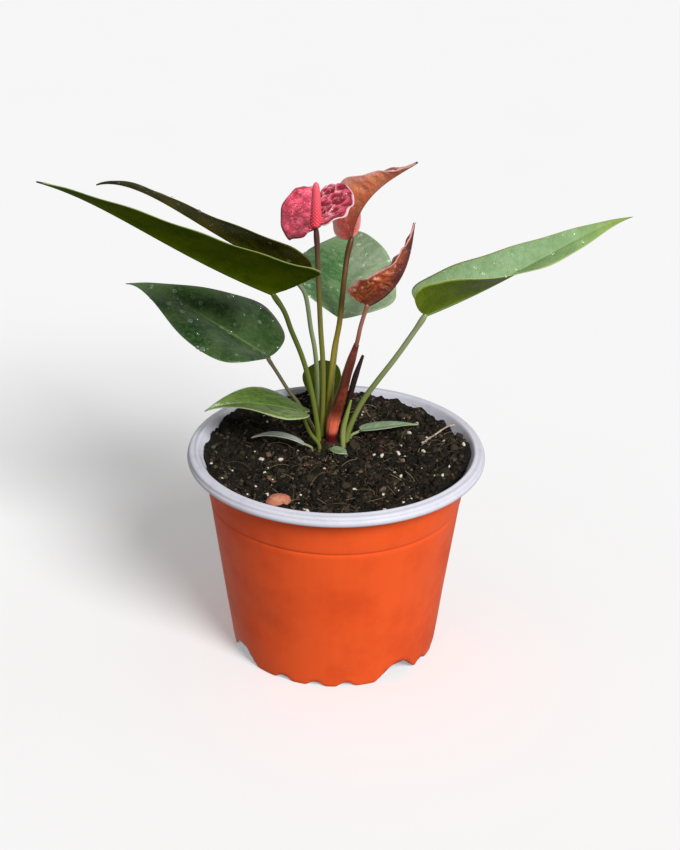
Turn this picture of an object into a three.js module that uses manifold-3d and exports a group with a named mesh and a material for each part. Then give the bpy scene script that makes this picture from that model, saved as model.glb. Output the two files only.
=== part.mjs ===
// A young anthurium in bloom, growing in a thin two-coloured plastic nursery pot.
// Millimetres, +Z up, with the viewer on the -Y side. The pieces are drawn about the middle of the pot's
// foot, and then moved together, so that the origin is on the surface under the middle of the whole plant.
import * as THREE from "three";
import { mergeVertices } from "three/addons/utils/BufferGeometryUtils.js";
import Module from "manifold-3d";

const wasm = await Module();
wasm.setup();

// ---- driving dimensions ----

const GAP = 0.3; // clearance between a piece and the piece that it stands in or on
const POT = {
  rimRadius: 65, // outer edge of the rolled rim
  height: 95.2, // top of the rim above the surface
  lipHeight: 5, // how far the rolled rim hangs down outside
  wallTopRadius: 57.7, // outside of the wall, just under the rim
  footRadius: 45.4, // outside of the wall, at the surface
  wall: 1.2, // thickness of wall and floor
  floorHeight: 7.6, // underside of the raised floor
  footWidth: 2.4, // width of the ring that the pot stands on
  grooveHeight: 72.2, // the shallow line round the outside
  grooveDepth: 0.45,
  segments: 48,
};
// Notches in the foot, by their angle in degrees from the front, positive to the right.
const DEEP_NOTCH = { angles: [-62, 38, 118, 218], width: 23, height: 7 };
const SHALLOW_NOTCH = {
  angles: [-29, -10, 7, 58, 78, 98, 151, 170, 187, 238, 258, 278],
  width: 9,
  height: 2,
};
const DRAIN = { count: 4, radius: 4, circle: 28 };
const SOIL = {
  level: 88.5, riseRight: 3.3, riseBack: 2.8, lumps: 0.7, rings: 9, segments: 36,
  bank: [2.4, -3.9], // how far it is banked up at the wall, and how much more to the right
  heap: { at: [58, 2], height: 3.5, reach: 12.7 }, // a heap against the rim
};
const CROWN = { at: [-3, 16.5], radius: 10, height: 4, depth: 5 };
const PEBBLE = { at: [-24.2, -38.7], size: [10.5, 7.5, 6.5], turn: 20 };
const TWIG = { from: [37.7, 10.6], to: [53.5, 24.2], arch: 3.4, radius: 0.5 };
const MIDDLE = [6.4, 23.6]; // of the whole plant, seen from above, as measured from the pot's axis
const BLADE = 0.9; // thickness of a leaf blade and of the spathe
const ROOT_Z = 85.5; // where the stems end, down in their holes

// A blade is a heart-shaped outline folded along its midrib. at: where the petiole meets it. length: from
// there to the tip. lobe: how far the two basal lobes reach behind it. widest: place of the greatest width,
// as a share of length. heading and climb aim the midrib, in degrees, where 0 is +X and 90 is away from the
// viewer; swing, droop and hook bend it, the hook near the tip only. roll and twist turn the blade about it,
// and fold lifts its halves at the base and at the tip. rows: how finely the three stretches of the outline,
// along the sinus, round the lobe and on to the tip, are split, and columns the same across a half. Where a
// lobe's size is a pair, it is the left half's and the right half's.
const LEAVES = {
  upper_left_long: {
    at: [-27.9, 1.2, 166.6], length: 115.5, halfWidth: 27, lobe: 7,
    widest: 0.06, fullness: 0.52, lobeWidth: 0.8, tipWidth: 0.29, curl: 0.3,
    heading: 202, swing: -1, climb: 29, droop: -15, hook: 23, roll: 27, twist: -14, fold: [34, 21],
    stem: [
      [-8.1, 12, 95], [-10.6, 10.5, 113.6], [-13.3, 9, 127], [-15.9, 7.5, 136.4], [-19.9, 5.5, 147.8],
      [-22.9, 3.5, 157.4],
    ],
    stemRadius: 1.2, color: 0x37500f, stemColor: 0x5d6f22,
  },
  upper_left_back: {
    at: [-20.4, 21.7, 167.9], length: 102.5, halfWidth: 21, lobe: 9,
    widest: 0.15, fullness: 0.46, lobeWidth: 0.43, tipWidth: 0.35, curl: 0.3,
    heading: 160, swing: -12, climb: 17, droop: -15, hook: 57, roll: 41, twist: -17, fold: [32, 16],
    stem: [
      [-8.6, 20.5, 94], [-9, 20.5, 122], [-10, 21, 132.5], [-11.6, 21.3, 141], [-14.4, 21.6, 158],
      [-17.4, 21.7, 163],
    ],
    stemRadius: 1.1, color: 0x363d12, stemColor: 0x7d8a63,
  },
  left_wide: {
    at: [-31, 23.5, 126.8], length: 77, halfWidth: 27, lobe: [1.2, 3.4],
    widest: 0.17, fullness: 0.21, lobeWidth: [0.25, 0.46], tipWidth: 0.04, curl: 0.3,
    heading: 171, swing: -31, climb: 31, droop: 15, hook: 35, roll: 3, twist: -35, fold: [31, 0],
    stem: [[-9.5, 16, 93.5], [-17, 18.5, 106.9], [-21.5, 20, 112.4], [-26.1, 22, 119.3]],
    stemRadius: 0.9, color: 0x1f4a24, stemColor: 0x5a5c3c,
  },
  left_low: {
    at: [-14.7, 4, 109.5], length: 44, halfWidth: 13.3, lobe: 3,
    widest: 0.2, fullness: 0.4, lobeWidth: 0.29, tipWidth: 0.22, curl: 0.18,
    heading: 178, swing: 26, climb: 15, droop: 12, hook: 20, roll: 10, twist: -34, fold: [6, 36],
    stem: [[-7.6, 8, 91.5], [-11.2, 7, 97.4], [-13.6, 5.5, 103.8]],
    stemRadius: 0.9, color: 0x5d8f3b, stemColor: 0x62733a,
  },
  back_centre: {
    at: [1, 32.5, 142], length: 80.5, halfWidth: 25, lobe: 4,
    widest: 0.1, fullness: 0.48, lobeWidth: 0.44, tipWidth: 0.72, curl: 0.2,
    heading: 87, swing: 0, climb: 4, droop: -17, hook: 28, roll: 10, twist: -26, fold: [38, 24],
    stem: [[-2.9, 23.5, 93], [-2.2, 26, 113.7], [-0.6, 29.5, 130]],
    stemRadius: 1.1, color: 0x7fae80, stemColor: 0x7c8a35,
  },
  right_long: {
    at: [38, 15.1, 151.9], length: 111, halfWidth: 19, lobe: [1, 4],
    widest: 0.11, fullness: 0.2, lobeWidth: 0.59, tipWidth: 0.18, curl: 0.07,
    heading: 18, swing: 21, climb: 16, droop: -7, hook: 28, roll: -26, twist: 73, fold: [49, 0],
    stem: [
      [4.6, 13.5, 93], [7.9, 14.5, 102.7], [11.8, 15, 110.7], [17, 15, 118.8], [25.7, 15, 131.6],
      [35, 15, 146.7],
    ],
    stemRadius: 1.3, color: 0x73a06a, stemColor: 0x7f9148,
  },
  young_maroon: {
    at: [12.8, 12, 157.5], length: 46, halfWidth: 14, lobe: 4,
    widest: 0.25, fullness: 0.2, lobeWidth: 0.61, tipWidth: 0.02, curl: 0.02,
    heading: -25, swing: 22, climb: 29, droop: -80, hook: 28, roll: -20, twist: 29, fold: [42, 49],
    stem: [[5.9, 12.4, 132.5], [8.2, 12.5, 138.4], [10, 12.3, 147.5]],
    stemRadius: 1.0, rooted: false, color: 0x5e1c14, stemColor: 0x9a6457,
  },
  young_copper: {
    at: [5.7, 34, 179.6], length: 49.4, halfWidth: 14.5, lobe: [0.8, 4],
    widest: 0.11, fullness: 0.55, lobeWidth: [0.3, 0.63], tipWidth: 0.02, curl: -0.14,
    heading: -31, swing: 18, climb: 84, droop: 72, hook: -23, roll: -50, twist: 60, fold: [55, 50],
    stem: [
      [-4.2, 19.2, 94], [-2.7, 20, 117], [-1.5, 21.5, 131], [0.6, 23, 142.7], [2.3, 26.2, 160.4],
      [3.8, 31, 172.1],
    ],
    stemRadius: 1.3, color: 0x9c4a30, stemColor: 0x74661f,
  },
  back_small: {
    at: [-6.7, 33.6, 101.9], length: 25, halfWidth: 9.3, lobe: 3,
    widest: 0.38, fullness: 0.59, lobeWidth: 0.28, tipWidth: 0.32, curl: 0.06,
    heading: 89, swing: 6, climb: 28, droop: 5, hook: 25, roll: 7, twist: -27, fold: [27, 16],
    stem: [[-6, 24.5, 93.5], [-6.3, 29, 98.2]],
    stemRadius: 0.8, color: 0x4a5f22, stemColor: 0x55652a,
  },
  low_right: {
    at: [11.5, 19.5, 93.4], length: 26, halfWidth: 5.5, lobe: 1.2,
    widest: 0.35, fullness: 0.45, lobeWidth: 0.3, tipWidth: 0.2, curl: 0.1,
    heading: 8, swing: 4, climb: 8, droop: 12, hook: 0, roll: -8, twist: 0, fold: [18, 12],
    stem: [[6.5, 17.5, 91.5], [9, 18.6, 92.6]],
    stemRadius: 0.7, color: 0x7fa37a, stemColor: 0x7b8a5c,
  },
  low_left: {
    at: [-15, 8.4, 92], length: 24, halfWidth: 2.4, lobe: 0.8,
    widest: 0.4, fullness: 0.5, lobeWidth: 0.4, tipWidth: 0.3, curl: 0.1,
    heading: 176, swing: -3, climb: 32, droop: 58, hook: 0, roll: 0, twist: 0, fold: [18, 14],
    stem: [[-10.8, 8, 90], [-13, 8.2, 91.3]],
    stemRadius: 0.6, color: 0x8b9a8c, stemColor: 0x7f8c74,
  },
  tiny_front: {
    at: [-1.5, 5.2, 91.2], length: 8, halfWidth: 3, lobe: 0.8,
    widest: 0.4, fullness: 0.6, lobeWidth: 0.4, tipWidth: 0.3, curl: 0.1,
    heading: -35, swing: 0, climb: 4, droop: 14, hook: 0, roll: 0, twist: 0, fold: [10, 6],
    stem: [[-3, 6.8, 90]],
    stemRadius: 0.6, color: 0x59695a, stemColor: 0x59695a,
  },
};
const SPATHE = {
  at: [-9.6, 5.5, 194.8], length: 36.5, halfWidth: 16, lobe: 4,
  widest: 0.31, fullness: 0.64, lobeWidth: 0.36, tipWidth: 0.28, curl: 0.3,
  heading: 84, swing: 8, climb: 5, droop: -20, hook: 67, roll: -29, twist: 30, fold: [10, 50],
  stem: [
    [-6.4, 15.5, 95], [-6.1, 13.5, 115.3], [-6.3, 11.5, 130.8], [-7.3, 9.7, 146], [-8.4, 7.4, 170.6],
    [-9.1, 6.1, 187],
  ],
  stemRadius: 1.2, color: 0xb01f45, stemColor: 0x6b5a35,
  rows: [3, 6, 12], columns: 6, pucker: 0.7, // height of the blisters between its veins
};
const SPADIX = {
  from: [-9.6, 4.4, 195.5], to: [-9.6, 2.6, 215.5], baseRadius: 2.5, tipRadius: 1.45,
  rings: 22, around: 14, relief: 0.08, // its florets, in staggered rings
};

// Tapering pieces round the stems: points along the middle, with the radius at each.
const SHEATHS = {
  red_sheath: {
    route: [
      [-2.2, 12, ROOT_Z], [-2.3, 12, 94], [-1.4, 12, 101.9], [0.3, 12, 109], [2.4, 12.2, 116.5],
      [4.3, 12.4, 124.5], [6.5, 12.5, 132.5], [8.2, 12.5, 138.4],
    ],
    radii: [2, 2.4, 3, 2.8, 2.4, 2.1, 2.1, 1.7],
    color: 0x7c2a1c,
  },
  dry_sheath: {
    route: [
      [1.2, 17.6, ROOT_Z], [2.6, 16.2, 98], [4.3, 14.9, 106], [6.2, 14.4, 115], [8.2, 14.6, 123.1],
      [11.1, 15, 132],
    ],
    radii: [1, 1, 1.1, 1.3, 1.3, 0.6],
    color: 0x241514,
  },
  green_sheath: {
    route: [[3, 10, ROOT_Z], [2.9, 10, 98], [4.5, 10, 105.9], [6.2, 10.3, 112.6]],
    radii: [1.1, 1.3, 1.1, 0.5],
    color: 0x88a052,
  },
};

// ---- geometry tools ----

const radians = THREE.MathUtils.degToRad;
const vector = (point) => new THREE.Vector3(...point);

/** A body that can be joined and cut, from a closed geometry, less any triangles that collapse at a pole. */
function solid(geometry) {
  const bare = new THREE.BufferGeometry();
  bare.setAttribute("position", geometry.getAttribute("position"));
  bare.setIndex(geometry.index);
  const merged = mergeVertices(bare, 1e-4);
  const corners = merged.index.array;
  const triangles = [];
  for (let i = 0; i < corners.length; i += 3) {
    const [a, b, c] = corners.slice(i, i + 3);
    if (a !== b && b !== c && c !== a) triangles.push(a, b, c);
  }
  const { array: vertProperties } = merged.attributes.position;
  const triVerts = new Uint32Array(triangles);
  return new wasm.Manifold(new wasm.Mesh({ numProp: 3, vertProperties, triVerts }));
}

/** The geometry of a manifold body. */
function geometryOf(body) {
  const { vertProperties, triVerts } = body.getMesh();
  const geometry = new THREE.BufferGeometry();
  geometry.setAttribute("position", new THREE.BufferAttribute(vertProperties, 3));
  geometry.setIndex(new THREE.BufferAttribute(triVerts, 1));
  geometry.computeVertexNormals();
  return geometry;
}

/** What is left of a body once the cutters are taken from it, without loose scraps. */
function cut(body, cutters) {
  const left = cutters.reduce((rest, cutter) => rest.subtract(cutter), body);
  return left.decompose().reduce((best, next) => (next.volume() > best.volume() ? next : best));
}

/** A body turned from a profile of [radius, height] points that starts and ends on the axis. */
function turned(profile, segments = POT.segments) {
  const points = profile.map(([r, z]) => new THREE.Vector2(r, z));
  return solid(new THREE.LatheGeometry(points, segments).rotateX(Math.PI / 2));
}

/** A round stalk of one radius along a smooth curve through points. */
function stalk(points, radius, steps = 2 * points.length) {
  const path = new THREE.CatmullRomCurve3(points.map(vector));
  const section = new THREE.Shape().absarc(0, 0, radius, 0, 2 * Math.PI);
  const options = { curveSegments: 4, steps, extrudePath: path, bevelEnabled: false };
  return solid(new THREE.ExtrudeGeometry(section, options));
}

/** A round limb along a smooth route, whose radius runs evenly through radii, or that limb made thicker. */
function taperedLimb({ route, radii }, extra = 0) {
  const [sides, steps] = [10, 2 * route.length];
  const path = new THREE.CatmullRomCurve3(route.map(vector));
  const { normals, binormals } = path.computeFrenetFrames(steps, false);
  const positions = [];
  const index = [];
  for (let i = 0; i <= steps; i++) {
    const place = (i / steps) * (radii.length - 1);
    const from = Math.min(Math.floor(place), radii.length - 2);
    const radius = THREE.MathUtils.lerp(radii[from], radii[from + 1], place - from) + extra;
    const middle = path.getPoint(i / steps);
    for (let k = 0; k < sides; k++) {
      const angle = (2 * Math.PI * k) / sides;
      const point = middle.clone().addScaledVector(normals[i], radius * Math.cos(angle));
      positions.push(...point.addScaledVector(binormals[i], radius * Math.sin(angle)));
      const [a, b] = [i * sides + k, i * sides + ((k + 1) % sides)];
      if (i < steps) index.push(a, b, b + sides, a, b + sides, a + sides);
      if (i === 0 && k > 0 && k < sides - 1) index.push(0, k + 1, k);
      if (i === steps && k > 0 && k < sides - 1) index.push(i * sides, a, a + 1);
    }
  }
  const geometry = new THREE.BufferGeometry();
  geometry.setAttribute("position", new THREE.Float32BufferAttribute(positions, 3));
  geometry.setIndex(index);
  return solid(geometry);
}

// ---- leaf blades ----

/** Half of a blade's flat outline, from petiole round lobe to tip: x along the midrib, y away from it. */
function halfOutline(leaf, hand) {
  const { length, halfWidth: w, widest, fullness, tipWidth, rows = [3, 4, 8] } = leaf;
  const [lobe, lobeWidth] = [leaf.lobe, leaf.lobeWidth].map((size) => [size].flat().at(hand > 0 ? 0 : -1));
  const wide = widest * length;
  const front = length - wide;
  const outline = new THREE.Path();
  outline.moveTo(0, 0);
  outline.bezierCurveTo(-0.35 * lobe, 0.04 * w, -lobe, 0.18 * w, -lobe, lobeWidth * w);
  outline.bezierCurveTo(-lobe, (lobeWidth + 0.38) * w, wide - 0.45 * (wide + lobe), w, wide, w);
  outline.bezierCurveTo(wide + fullness * front, w, length - 0.36 * front, tipWidth * w, length, 0);
  return outline.curves.flatMap((curve, n) => curve.getPoints(rows[n]).slice(1));
}

/** The bent midrib of a leaf: a function that gives the place and the directions at x along it. */
function midrib({ at, length, heading, swing, climb, droop, hook, roll, twist, fold }) {
  const steps = 32;
  const turn = (t) => radians(heading + swing * t);
  const ahead = (t) => {
    const rise = radians(climb - droop * t - hook * t ** 4);
    const flat = Math.cos(rise);
    return new THREE.Vector3(Math.cos(turn(t)) * flat, Math.sin(turn(t)) * flat, Math.sin(rise));
  };
  const stations = [vector(at)];
  for (let k = 0; k < steps; k++) {
    stations.push(stations[k].clone().addScaledVector(ahead((k + 0.5) / steps), length / steps));
  }
  return (x) => {
    const t = THREE.MathUtils.clamp(x / length, 0, 1);
    const k = Math.min(Math.floor(t * steps), steps - 1);
    const place = stations[k].clone().lerp(stations[k + 1], t * steps - k);
    const tangent = ahead(t);
    place.addScaledVector(tangent, Math.min(x, 0));
    const side = new THREE.Vector3(-Math.sin(turn(t)), Math.cos(turn(t)), 0);
    side.applyAxisAngle(tangent, radians(roll + twist * t));
    const up = tangent.clone().cross(side);
    return { place, side, up, lift: radians(THREE.MathUtils.lerp(fold[0], fold[1], t)) };
  };
}

/** The body of a leaf blade or spathe, of one thickness, with both faces split into the same triangles. */
function blade(leaf, thickness = BLADE) {
  const { columns = 2, pucker = 0 } = leaf;
  const along = midrib(leaf);
  const positions = [];
  const index = [];
  const quad = (a, b, c, d, forward) => index.push(...(forward ? [a, b, c, a, c, d] : [a, c, b, a, d, c]));
  const vertex = (x, y, hand, face) => {
    const { place, side, up, lift } = along(x);
    const blister = pucker * Math.sin(0.75 * (x - 0.5 * y)) * Math.sin(0.8 * y);
    const sag = leaf.curl * leaf.halfWidth * (y / leaf.halfWidth) ** 2 - blister;
    const out = y * Math.cos(lift) + sag * Math.sin(lift);
    const rise = y * Math.sin(lift) - sag * Math.cos(lift) + (face * thickness) / 2 / Math.cos(lift);
    return positions.push(...place.addScaledVector(side, hand * out).addScaledVector(up, rise)) / 3 - 1;
  };
  const feet = halfOutline(leaf, 1).map(({ x }) => Math.max(x, 0)); // where the rows of both halves start
  for (const hand of [1, -1]) {
    const left = hand > 0;
    // Each row runs from the midrib to the margin, and has an upper and a lower line of vertices.
    const rows = halfOutline(leaf, hand).map(({ x, y }, n) => {
      const foot = feet[n];
      const shares = Array.from({ length: columns + 1 }, (_, j) => j / columns);
      const line = (face) => shares.map((share) => vertex(foot + (x - foot) * share, y * share, hand, face));
      return [line(1), line(-1)];
    });
    rows.slice(1).forEach(([topNext, lowNext], i) => {
      const [top, low] = rows[i];
      for (let j = 0; j < columns; j++) {
        quad(top[j], topNext[j], topNext[j + 1], top[j + 1], left);
        quad(low[j], lowNext[j], lowNext[j + 1], low[j + 1], !left);
      }
      quad(top[columns], topNext[columns], lowNext[columns], low[columns], left);
    });
    const [top, low] = rows[0];
    for (let j = 0; j < columns; j++) quad(top[j], top[j + 1], low[j + 1], low[j], left);
  }
  const geometry = new THREE.BufferGeometry();
  geometry.setAttribute("position", new THREE.Float32BufferAttribute(positions, 3));
  geometry.setIndex(index);
  return solid(geometry);
}

/** The route of a leaf's stem to its blade, from its root in the soil unless it starts higher. */
function stemRoute({ at, stem, rooted = true }) {
  const [x, y] = stem[0];
  return rooted ? [[x, y, ROOT_Z], ...stem, at] : [...stem, at];
}

/** The stem of a leaf, or that stem made thicker. */
function stemBody(leaf, extra = 0) {
  return stalk(stemRoute(leaf), leaf.stemRadius + extra);
}

/** The spadix: a blunt tapering spike, covered in florets, that stands in front of the spathe's base. */
function spadixBody() {
  const { from, to, baseRadius, tipRadius, rings, around, relief } = SPADIX;
  const axis = vector(to).sub(vector(from));
  const side = Array.from({ length: rings }, (_, ring) => {
    const t = ring / rings;
    const ends = Math.min(1, 0.75 + 5 * t) * Math.sqrt(1 - t ** 8);
    return new THREE.Vector2(THREE.MathUtils.lerp(baseRadius, tipRadius, t) * ends, t * axis.length());
  });
  const profile = [new THREE.Vector2(0, 0), ...side, new THREE.Vector2(0, axis.length())];
  const spike = new THREE.LatheGeometry(profile, around);
  const { position } = spike.attributes;
  for (let n = 0; n < position.count; n++) {
    const [turn, ring] = [Math.floor(n / profile.length), n % profile.length];
    const swell = 1 + relief * (-1) ** (turn + ring);
    position.setXYZ(n, position.getX(n) * swell, position.getY(n), position.getZ(n) * swell);
  }
  const upright = new THREE.Vector3(0, 1, 0);
  spike.applyQuaternion(new THREE.Quaternion().setFromUnitVectors(upright, axis.normalize()));
  return solid(spike.translate(...from));
}

// ---- pot and soil ----

/** Outside radius of the pot's wall at a height. */
function wallRadius(z) {
  return THREE.MathUtils.lerp(POT.footRadius, POT.wallTopRadius, z / (POT.height - POT.lipHeight));
}

/** The space inside the pot, or that space drawn in by a clearance, up past the rim. */
function potInside(clearance = 0) {
  const floor = POT.floorHeight + POT.wall + clearance;
  const shoulder = POT.height - POT.lipHeight - 1;
  const inner = (z) => wallRadius(z) - POT.wall - clearance;
  const mouth = POT.rimRadius - 5 - clearance;
  return turned([
    [0, floor], [inner(floor) - 1.5, floor], [inner(floor), floor + 1.5], [inner(shoulder), shoulder],
    [mouth - 0.8, POT.height - 1.6], [mouth, POT.height], [mouth, POT.height + 20], [0, POT.height + 20],
  ]);
}

/** A block that cuts one arched notch out of the foot, at an angle from the front. */
function notch({ width, height }, angle) {
  const arch = new THREE.Shape();
  arch.moveTo(-width / 2, -1);
  arch.lineTo(-width / 2, 0);
  arch.bezierCurveTo(-width / 3, height * 0.3, -width / 4, height, 0, height);
  arch.bezierCurveTo(width / 4, height, width / 3, height * 0.3, width / 2, 0);
  arch.lineTo(width / 2, -1);
  arch.closePath();
  const block = new THREE.ExtrudeGeometry(arch, { depth: 16, curveSegments: 4, bevelEnabled: false });
  // The arch stands up, facing the front, and then turns to its place.
  block.rotateX(Math.PI / 2).translate(0, 8 - POT.footRadius, 0).rotateZ(radians(angle));
  return solid(block);
}

/** The pot: a thin conical wall with a rolled rim, a shallow groove, a raised floor and a notched foot. */
function potBody() {
  const { rimRadius: rim, height, grooveHeight: groove, footRadius, footWidth, floorHeight } = POT;
  const under = height - POT.lipHeight;
  const body = turned([
    [0, floorHeight], [footRadius - footWidth, floorHeight], [footRadius - footWidth, 0], [footRadius, 0],
    [wallRadius(groove - 1), groove - 1], [wallRadius(groove) - POT.grooveDepth, groove],
    [wallRadius(groove + 0.6), groove + 0.6],
    [wallRadius(under - 1), under - 1], [POT.wallTopRadius + 1.2, under + 0.6], [rim - 1.6, under + 0.6],
    [rim - 0.8, under], [rim, under + 1.2], [rim - 0.1, height - 1.6], [rim - 1, height - 0.4],
    [rim - 2.2, height], [0, height],
  ]);
  const notches = [DEEP_NOTCH, SHALLOW_NOTCH].map((kind) => kind.angles.map((angle) => notch(kind, angle)));
  const drains = Array.from({ length: DRAIN.count }, (_, k) => {
    const hole = new THREE.CylinderGeometry(DRAIN.radius, DRAIN.radius, 12, 12).rotateX(Math.PI / 2);
    hole.translate(DRAIN.circle, 0, floorHeight).rotateZ(((k + 0.5) * 2 * Math.PI) / DRAIN.count);
    return solid(hole);
  });
  return cut(body, [potInside(), ...notches.flat(), ...drains]);
}

/** Height of the soil's surface at a place. */
function soilTop(x, y) {
  const { level, riseRight, riseBack, lumps, bank, heap } = SOIL;
  const [right, back] = [x / POT.wallTopRadius, y / POT.wallTopRadius];
  const wave = Math.sin(0.31 * x + 1.1) * Math.cos(0.27 * y) + 0.5 * Math.sin(0.71 * x - 0.5 * y + 2);
  const banked = Math.hypot(right, back) ** 3 * (bank[0] + bank[1] * right);
  const away = Math.hypot(x - heap.at[0], y - heap.at[1]) / heap.reach;
  const heaped = heap.height * Math.exp(-(away ** 2));
  return level + riseRight * right + riseBack * back + lumps * wave + banked + heaped;
}

/** The soil: it fills the pot, less a gap, up to a lumpy surface that rises to the back and the right. */
function soilBody() {
  const { rings, segments } = SOIL;
  const positions = [0, 0, soilTop(0, 0), 0, 0, 0];
  const index = [];
  const around = (ring, k) => 2 + (ring - 1) * segments + (k % segments);
  for (let ring = 1; ring <= rings + 1; ring++) {
    const r = (POT.rimRadius * Math.min(ring, rings)) / rings;
    for (let k = 0; k < segments; k++) {
      const turn = (2 * Math.PI * k) / segments;
      const [x, y] = [r * Math.cos(turn), r * Math.sin(turn)];
      positions.push(x, y, ring > rings ? 0 : soilTop(x, y));
    }
  }
  for (let k = 0; k < segments; k++) {
    index.push(0, around(1, k), around(1, k + 1), 1, around(rings + 1, k + 1), around(rings + 1, k));
    for (let ring = 1; ring <= rings; ring++) {
      const [a, b] = [around(ring, k), around(ring + 1, k)];
      const [c, d] = [around(ring + 1, k + 1), around(ring, k + 1)];
      index.push(a, b, c, a, c, d);
    }
  }
  const geometry = new THREE.BufferGeometry();
  geometry.setAttribute("position", new THREE.Float32BufferAttribute(positions, 3));
  geometry.setIndex(index);
  return solid(geometry).intersect(potInside(GAP));
}

/** The crown: a low domed stump that the stems grow from, or that stump grown by a clearance. */
function crownBody(clearance = 0) {
  const { at, radius, height, depth } = CROWN;
  const [x, y] = at;
  const [r, top, bottom] = [radius + clearance, height + clearance, -depth - clearance];
  const dome = turned([
    [0, bottom], [0.7 * r, bottom], [r, 0], [0.86 * r, 0.55 * top], [0.5 * r, 0.92 * top], [0, top],
  ], 16);
  return dome.translate([x, y, soilTop(x, y)]);
}

/** The pebble, sunk a little in the soil, or that pebble grown by a clearance. */
function pebbleBody(clearance = 0) {
  const { at, size, turn } = PEBBLE;
  const [x, y] = at;
  const [a, b, c] = size.map((extent) => extent / 2 + clearance);
  const stone = new THREE.SphereGeometry(1, 14, 9).scale(a, b, c).rotateZ(radians(turn));
  return solid(stone).translate([x, y, soilTop(x, y) + 0.25 * PEBBLE.size[2]]);
}

/** The dry twig, which lies on the soil and arches off it. */
function twigRoute() {
  const { from, to, arch, radius } = TWIG;
  return [0, 0.3, 0.65, 1].map((t) => {
    const [x, y] = [0, 1].map((axis) => THREE.MathUtils.lerp(from[axis], to[axis], t));
    return [x, y, soilTop(x, y) + radius + GAP + arch * t * (1 - 0.25 * t)];
  });
}

// ---- the plant and its pot ----

const plant = new THREE.Group();
plant.position.set(-MIDDLE[0], -MIDDLE[1], 0);

/** Adds a body to the group as a named piece with its own material. */
function addPiece(name, body, color, roughness = 0.5) {
  const material = new THREE.MeshStandardMaterial({ color, roughness, metalness: 0 });
  const mesh = new THREE.Mesh(geometryOf(body), material);
  mesh.name = name;
  plant.add(mesh);
}

// What stands in the crown and the soil, grown by the gap, to cut its holes.
const holes = [
  ...[...Object.values(LEAVES), SPATHE].map((leaf) => stemBody(leaf, GAP)),
  ...Object.values(SHEATHS).map((sheath) => taperedLimb(sheath, GAP)),
];

addPiece("pot", potBody(), 0xe05520, 0.4);
addPiece("soil", cut(soilBody(), [...holes, crownBody(GAP), pebbleBody(GAP)]), 0x2a1f19, 0.95);
addPiece("crown", cut(crownBody(), holes), 0x4a3a22, 0.7);
addPiece("pebble", pebbleBody(), 0xc9744f, 0.6);
addPiece("twig", stalk(twigRoute(), TWIG.radius), 0xa78d77, 0.8);

for (const [name, leaf] of Object.entries(LEAVES)) {
  addPiece(`${name}_blade`, blade(leaf), leaf.color, 0.4);
  addPiece(`${name}_petiole`, cut(stemBody(leaf), [blade(leaf, BLADE + 2 * GAP)]), leaf.stemColor, 0.5);
}

const spatheCutter = blade(SPATHE, BLADE + 2 * GAP);
addPiece("flower_spathe", blade(SPATHE), SPATHE.color, 0.25);
addPiece("flower_peduncle", cut(stemBody(SPATHE), [spatheCutter]), SPATHE.stemColor, 0.5);
addPiece("flower_spadix", cut(spadixBody(), [spatheCutter]), 0xe8586a, 0.5);

// The stem of the maroon leaf comes out of the top of the red sheath.
const innerStem = stemBody(LEAVES.young_maroon, GAP);
for (const [name, sheath] of Object.entries(SHEATHS)) {
  addPiece(name, cut(taperedLimb(sheath), [innerStem]), sheath.color, 0.5);
}

export default plant;
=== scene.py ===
"""A young anthurium in bloom in a thin nursery pot: the looks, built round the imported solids."""

import logging
import math
from dataclasses import dataclass
from enum import Enum
from functools import cache

import bmesh
import bpy
import numpy as np
from mathutils import Matrix, Vector, noise


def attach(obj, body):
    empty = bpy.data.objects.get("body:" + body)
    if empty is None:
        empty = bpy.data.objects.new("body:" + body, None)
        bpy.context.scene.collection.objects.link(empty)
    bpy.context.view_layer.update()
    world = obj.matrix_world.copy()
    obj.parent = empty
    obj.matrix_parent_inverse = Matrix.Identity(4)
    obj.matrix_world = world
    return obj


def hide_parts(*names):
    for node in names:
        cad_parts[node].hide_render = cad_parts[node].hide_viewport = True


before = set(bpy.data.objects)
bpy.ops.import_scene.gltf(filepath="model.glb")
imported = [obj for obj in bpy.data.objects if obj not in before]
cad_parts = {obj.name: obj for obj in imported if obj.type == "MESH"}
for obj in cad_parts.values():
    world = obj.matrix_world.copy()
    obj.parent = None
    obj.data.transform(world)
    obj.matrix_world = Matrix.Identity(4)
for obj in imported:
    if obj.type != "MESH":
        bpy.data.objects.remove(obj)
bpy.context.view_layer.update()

LOG = logging.getLogger("anthurium")
MM = 0.001  # metres in a millimetre
MIDDLE = np.array([6.4, 23.6, 0.0])  # of the whole plant, in mm from the pot's axis; it is the frame's origin
ROOT_Z = 85.5  # mm; where the stems end in the soil
WALL_TOP = 57.7  # mm; outside radius of the pot's wall under the rim
SAME_POINT = 0.004  # mm; points nearer to each other than this become one
SLIM_SEED, TONE_SEED, SPIN_SEED = 3, 5, 7  # of what is random for each scattered shape
Point = tuple[float, float, float]
Colour = tuple[float, float, float, float]
MeshPart = tuple[np.ndarray, list, dict]  # points, faces and marks


def tint(red: int, green: int, blue: int) -> Colour:
    """Turns screen values from 0 to 255 into the linear colour that a shader takes.

    Args:
        red: The screen's red.
        green: The screen's green.
        blue: The screen's blue.

    Returns:
        Linear red, green, blue and an alpha of 1.
    """
    shares = [value / 255 for value in (red, green, blue)]
    linear = [s / 12.92 if s <= 0.04045 else ((s + 0.055) / 1.055) ** 2.4 for s in shares]
    return (*linear, 1.0)


def grey(level: float) -> Colour:
    """A linear grey."""
    return (level, level, level, 1.0)


# ---- node trees ----


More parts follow.
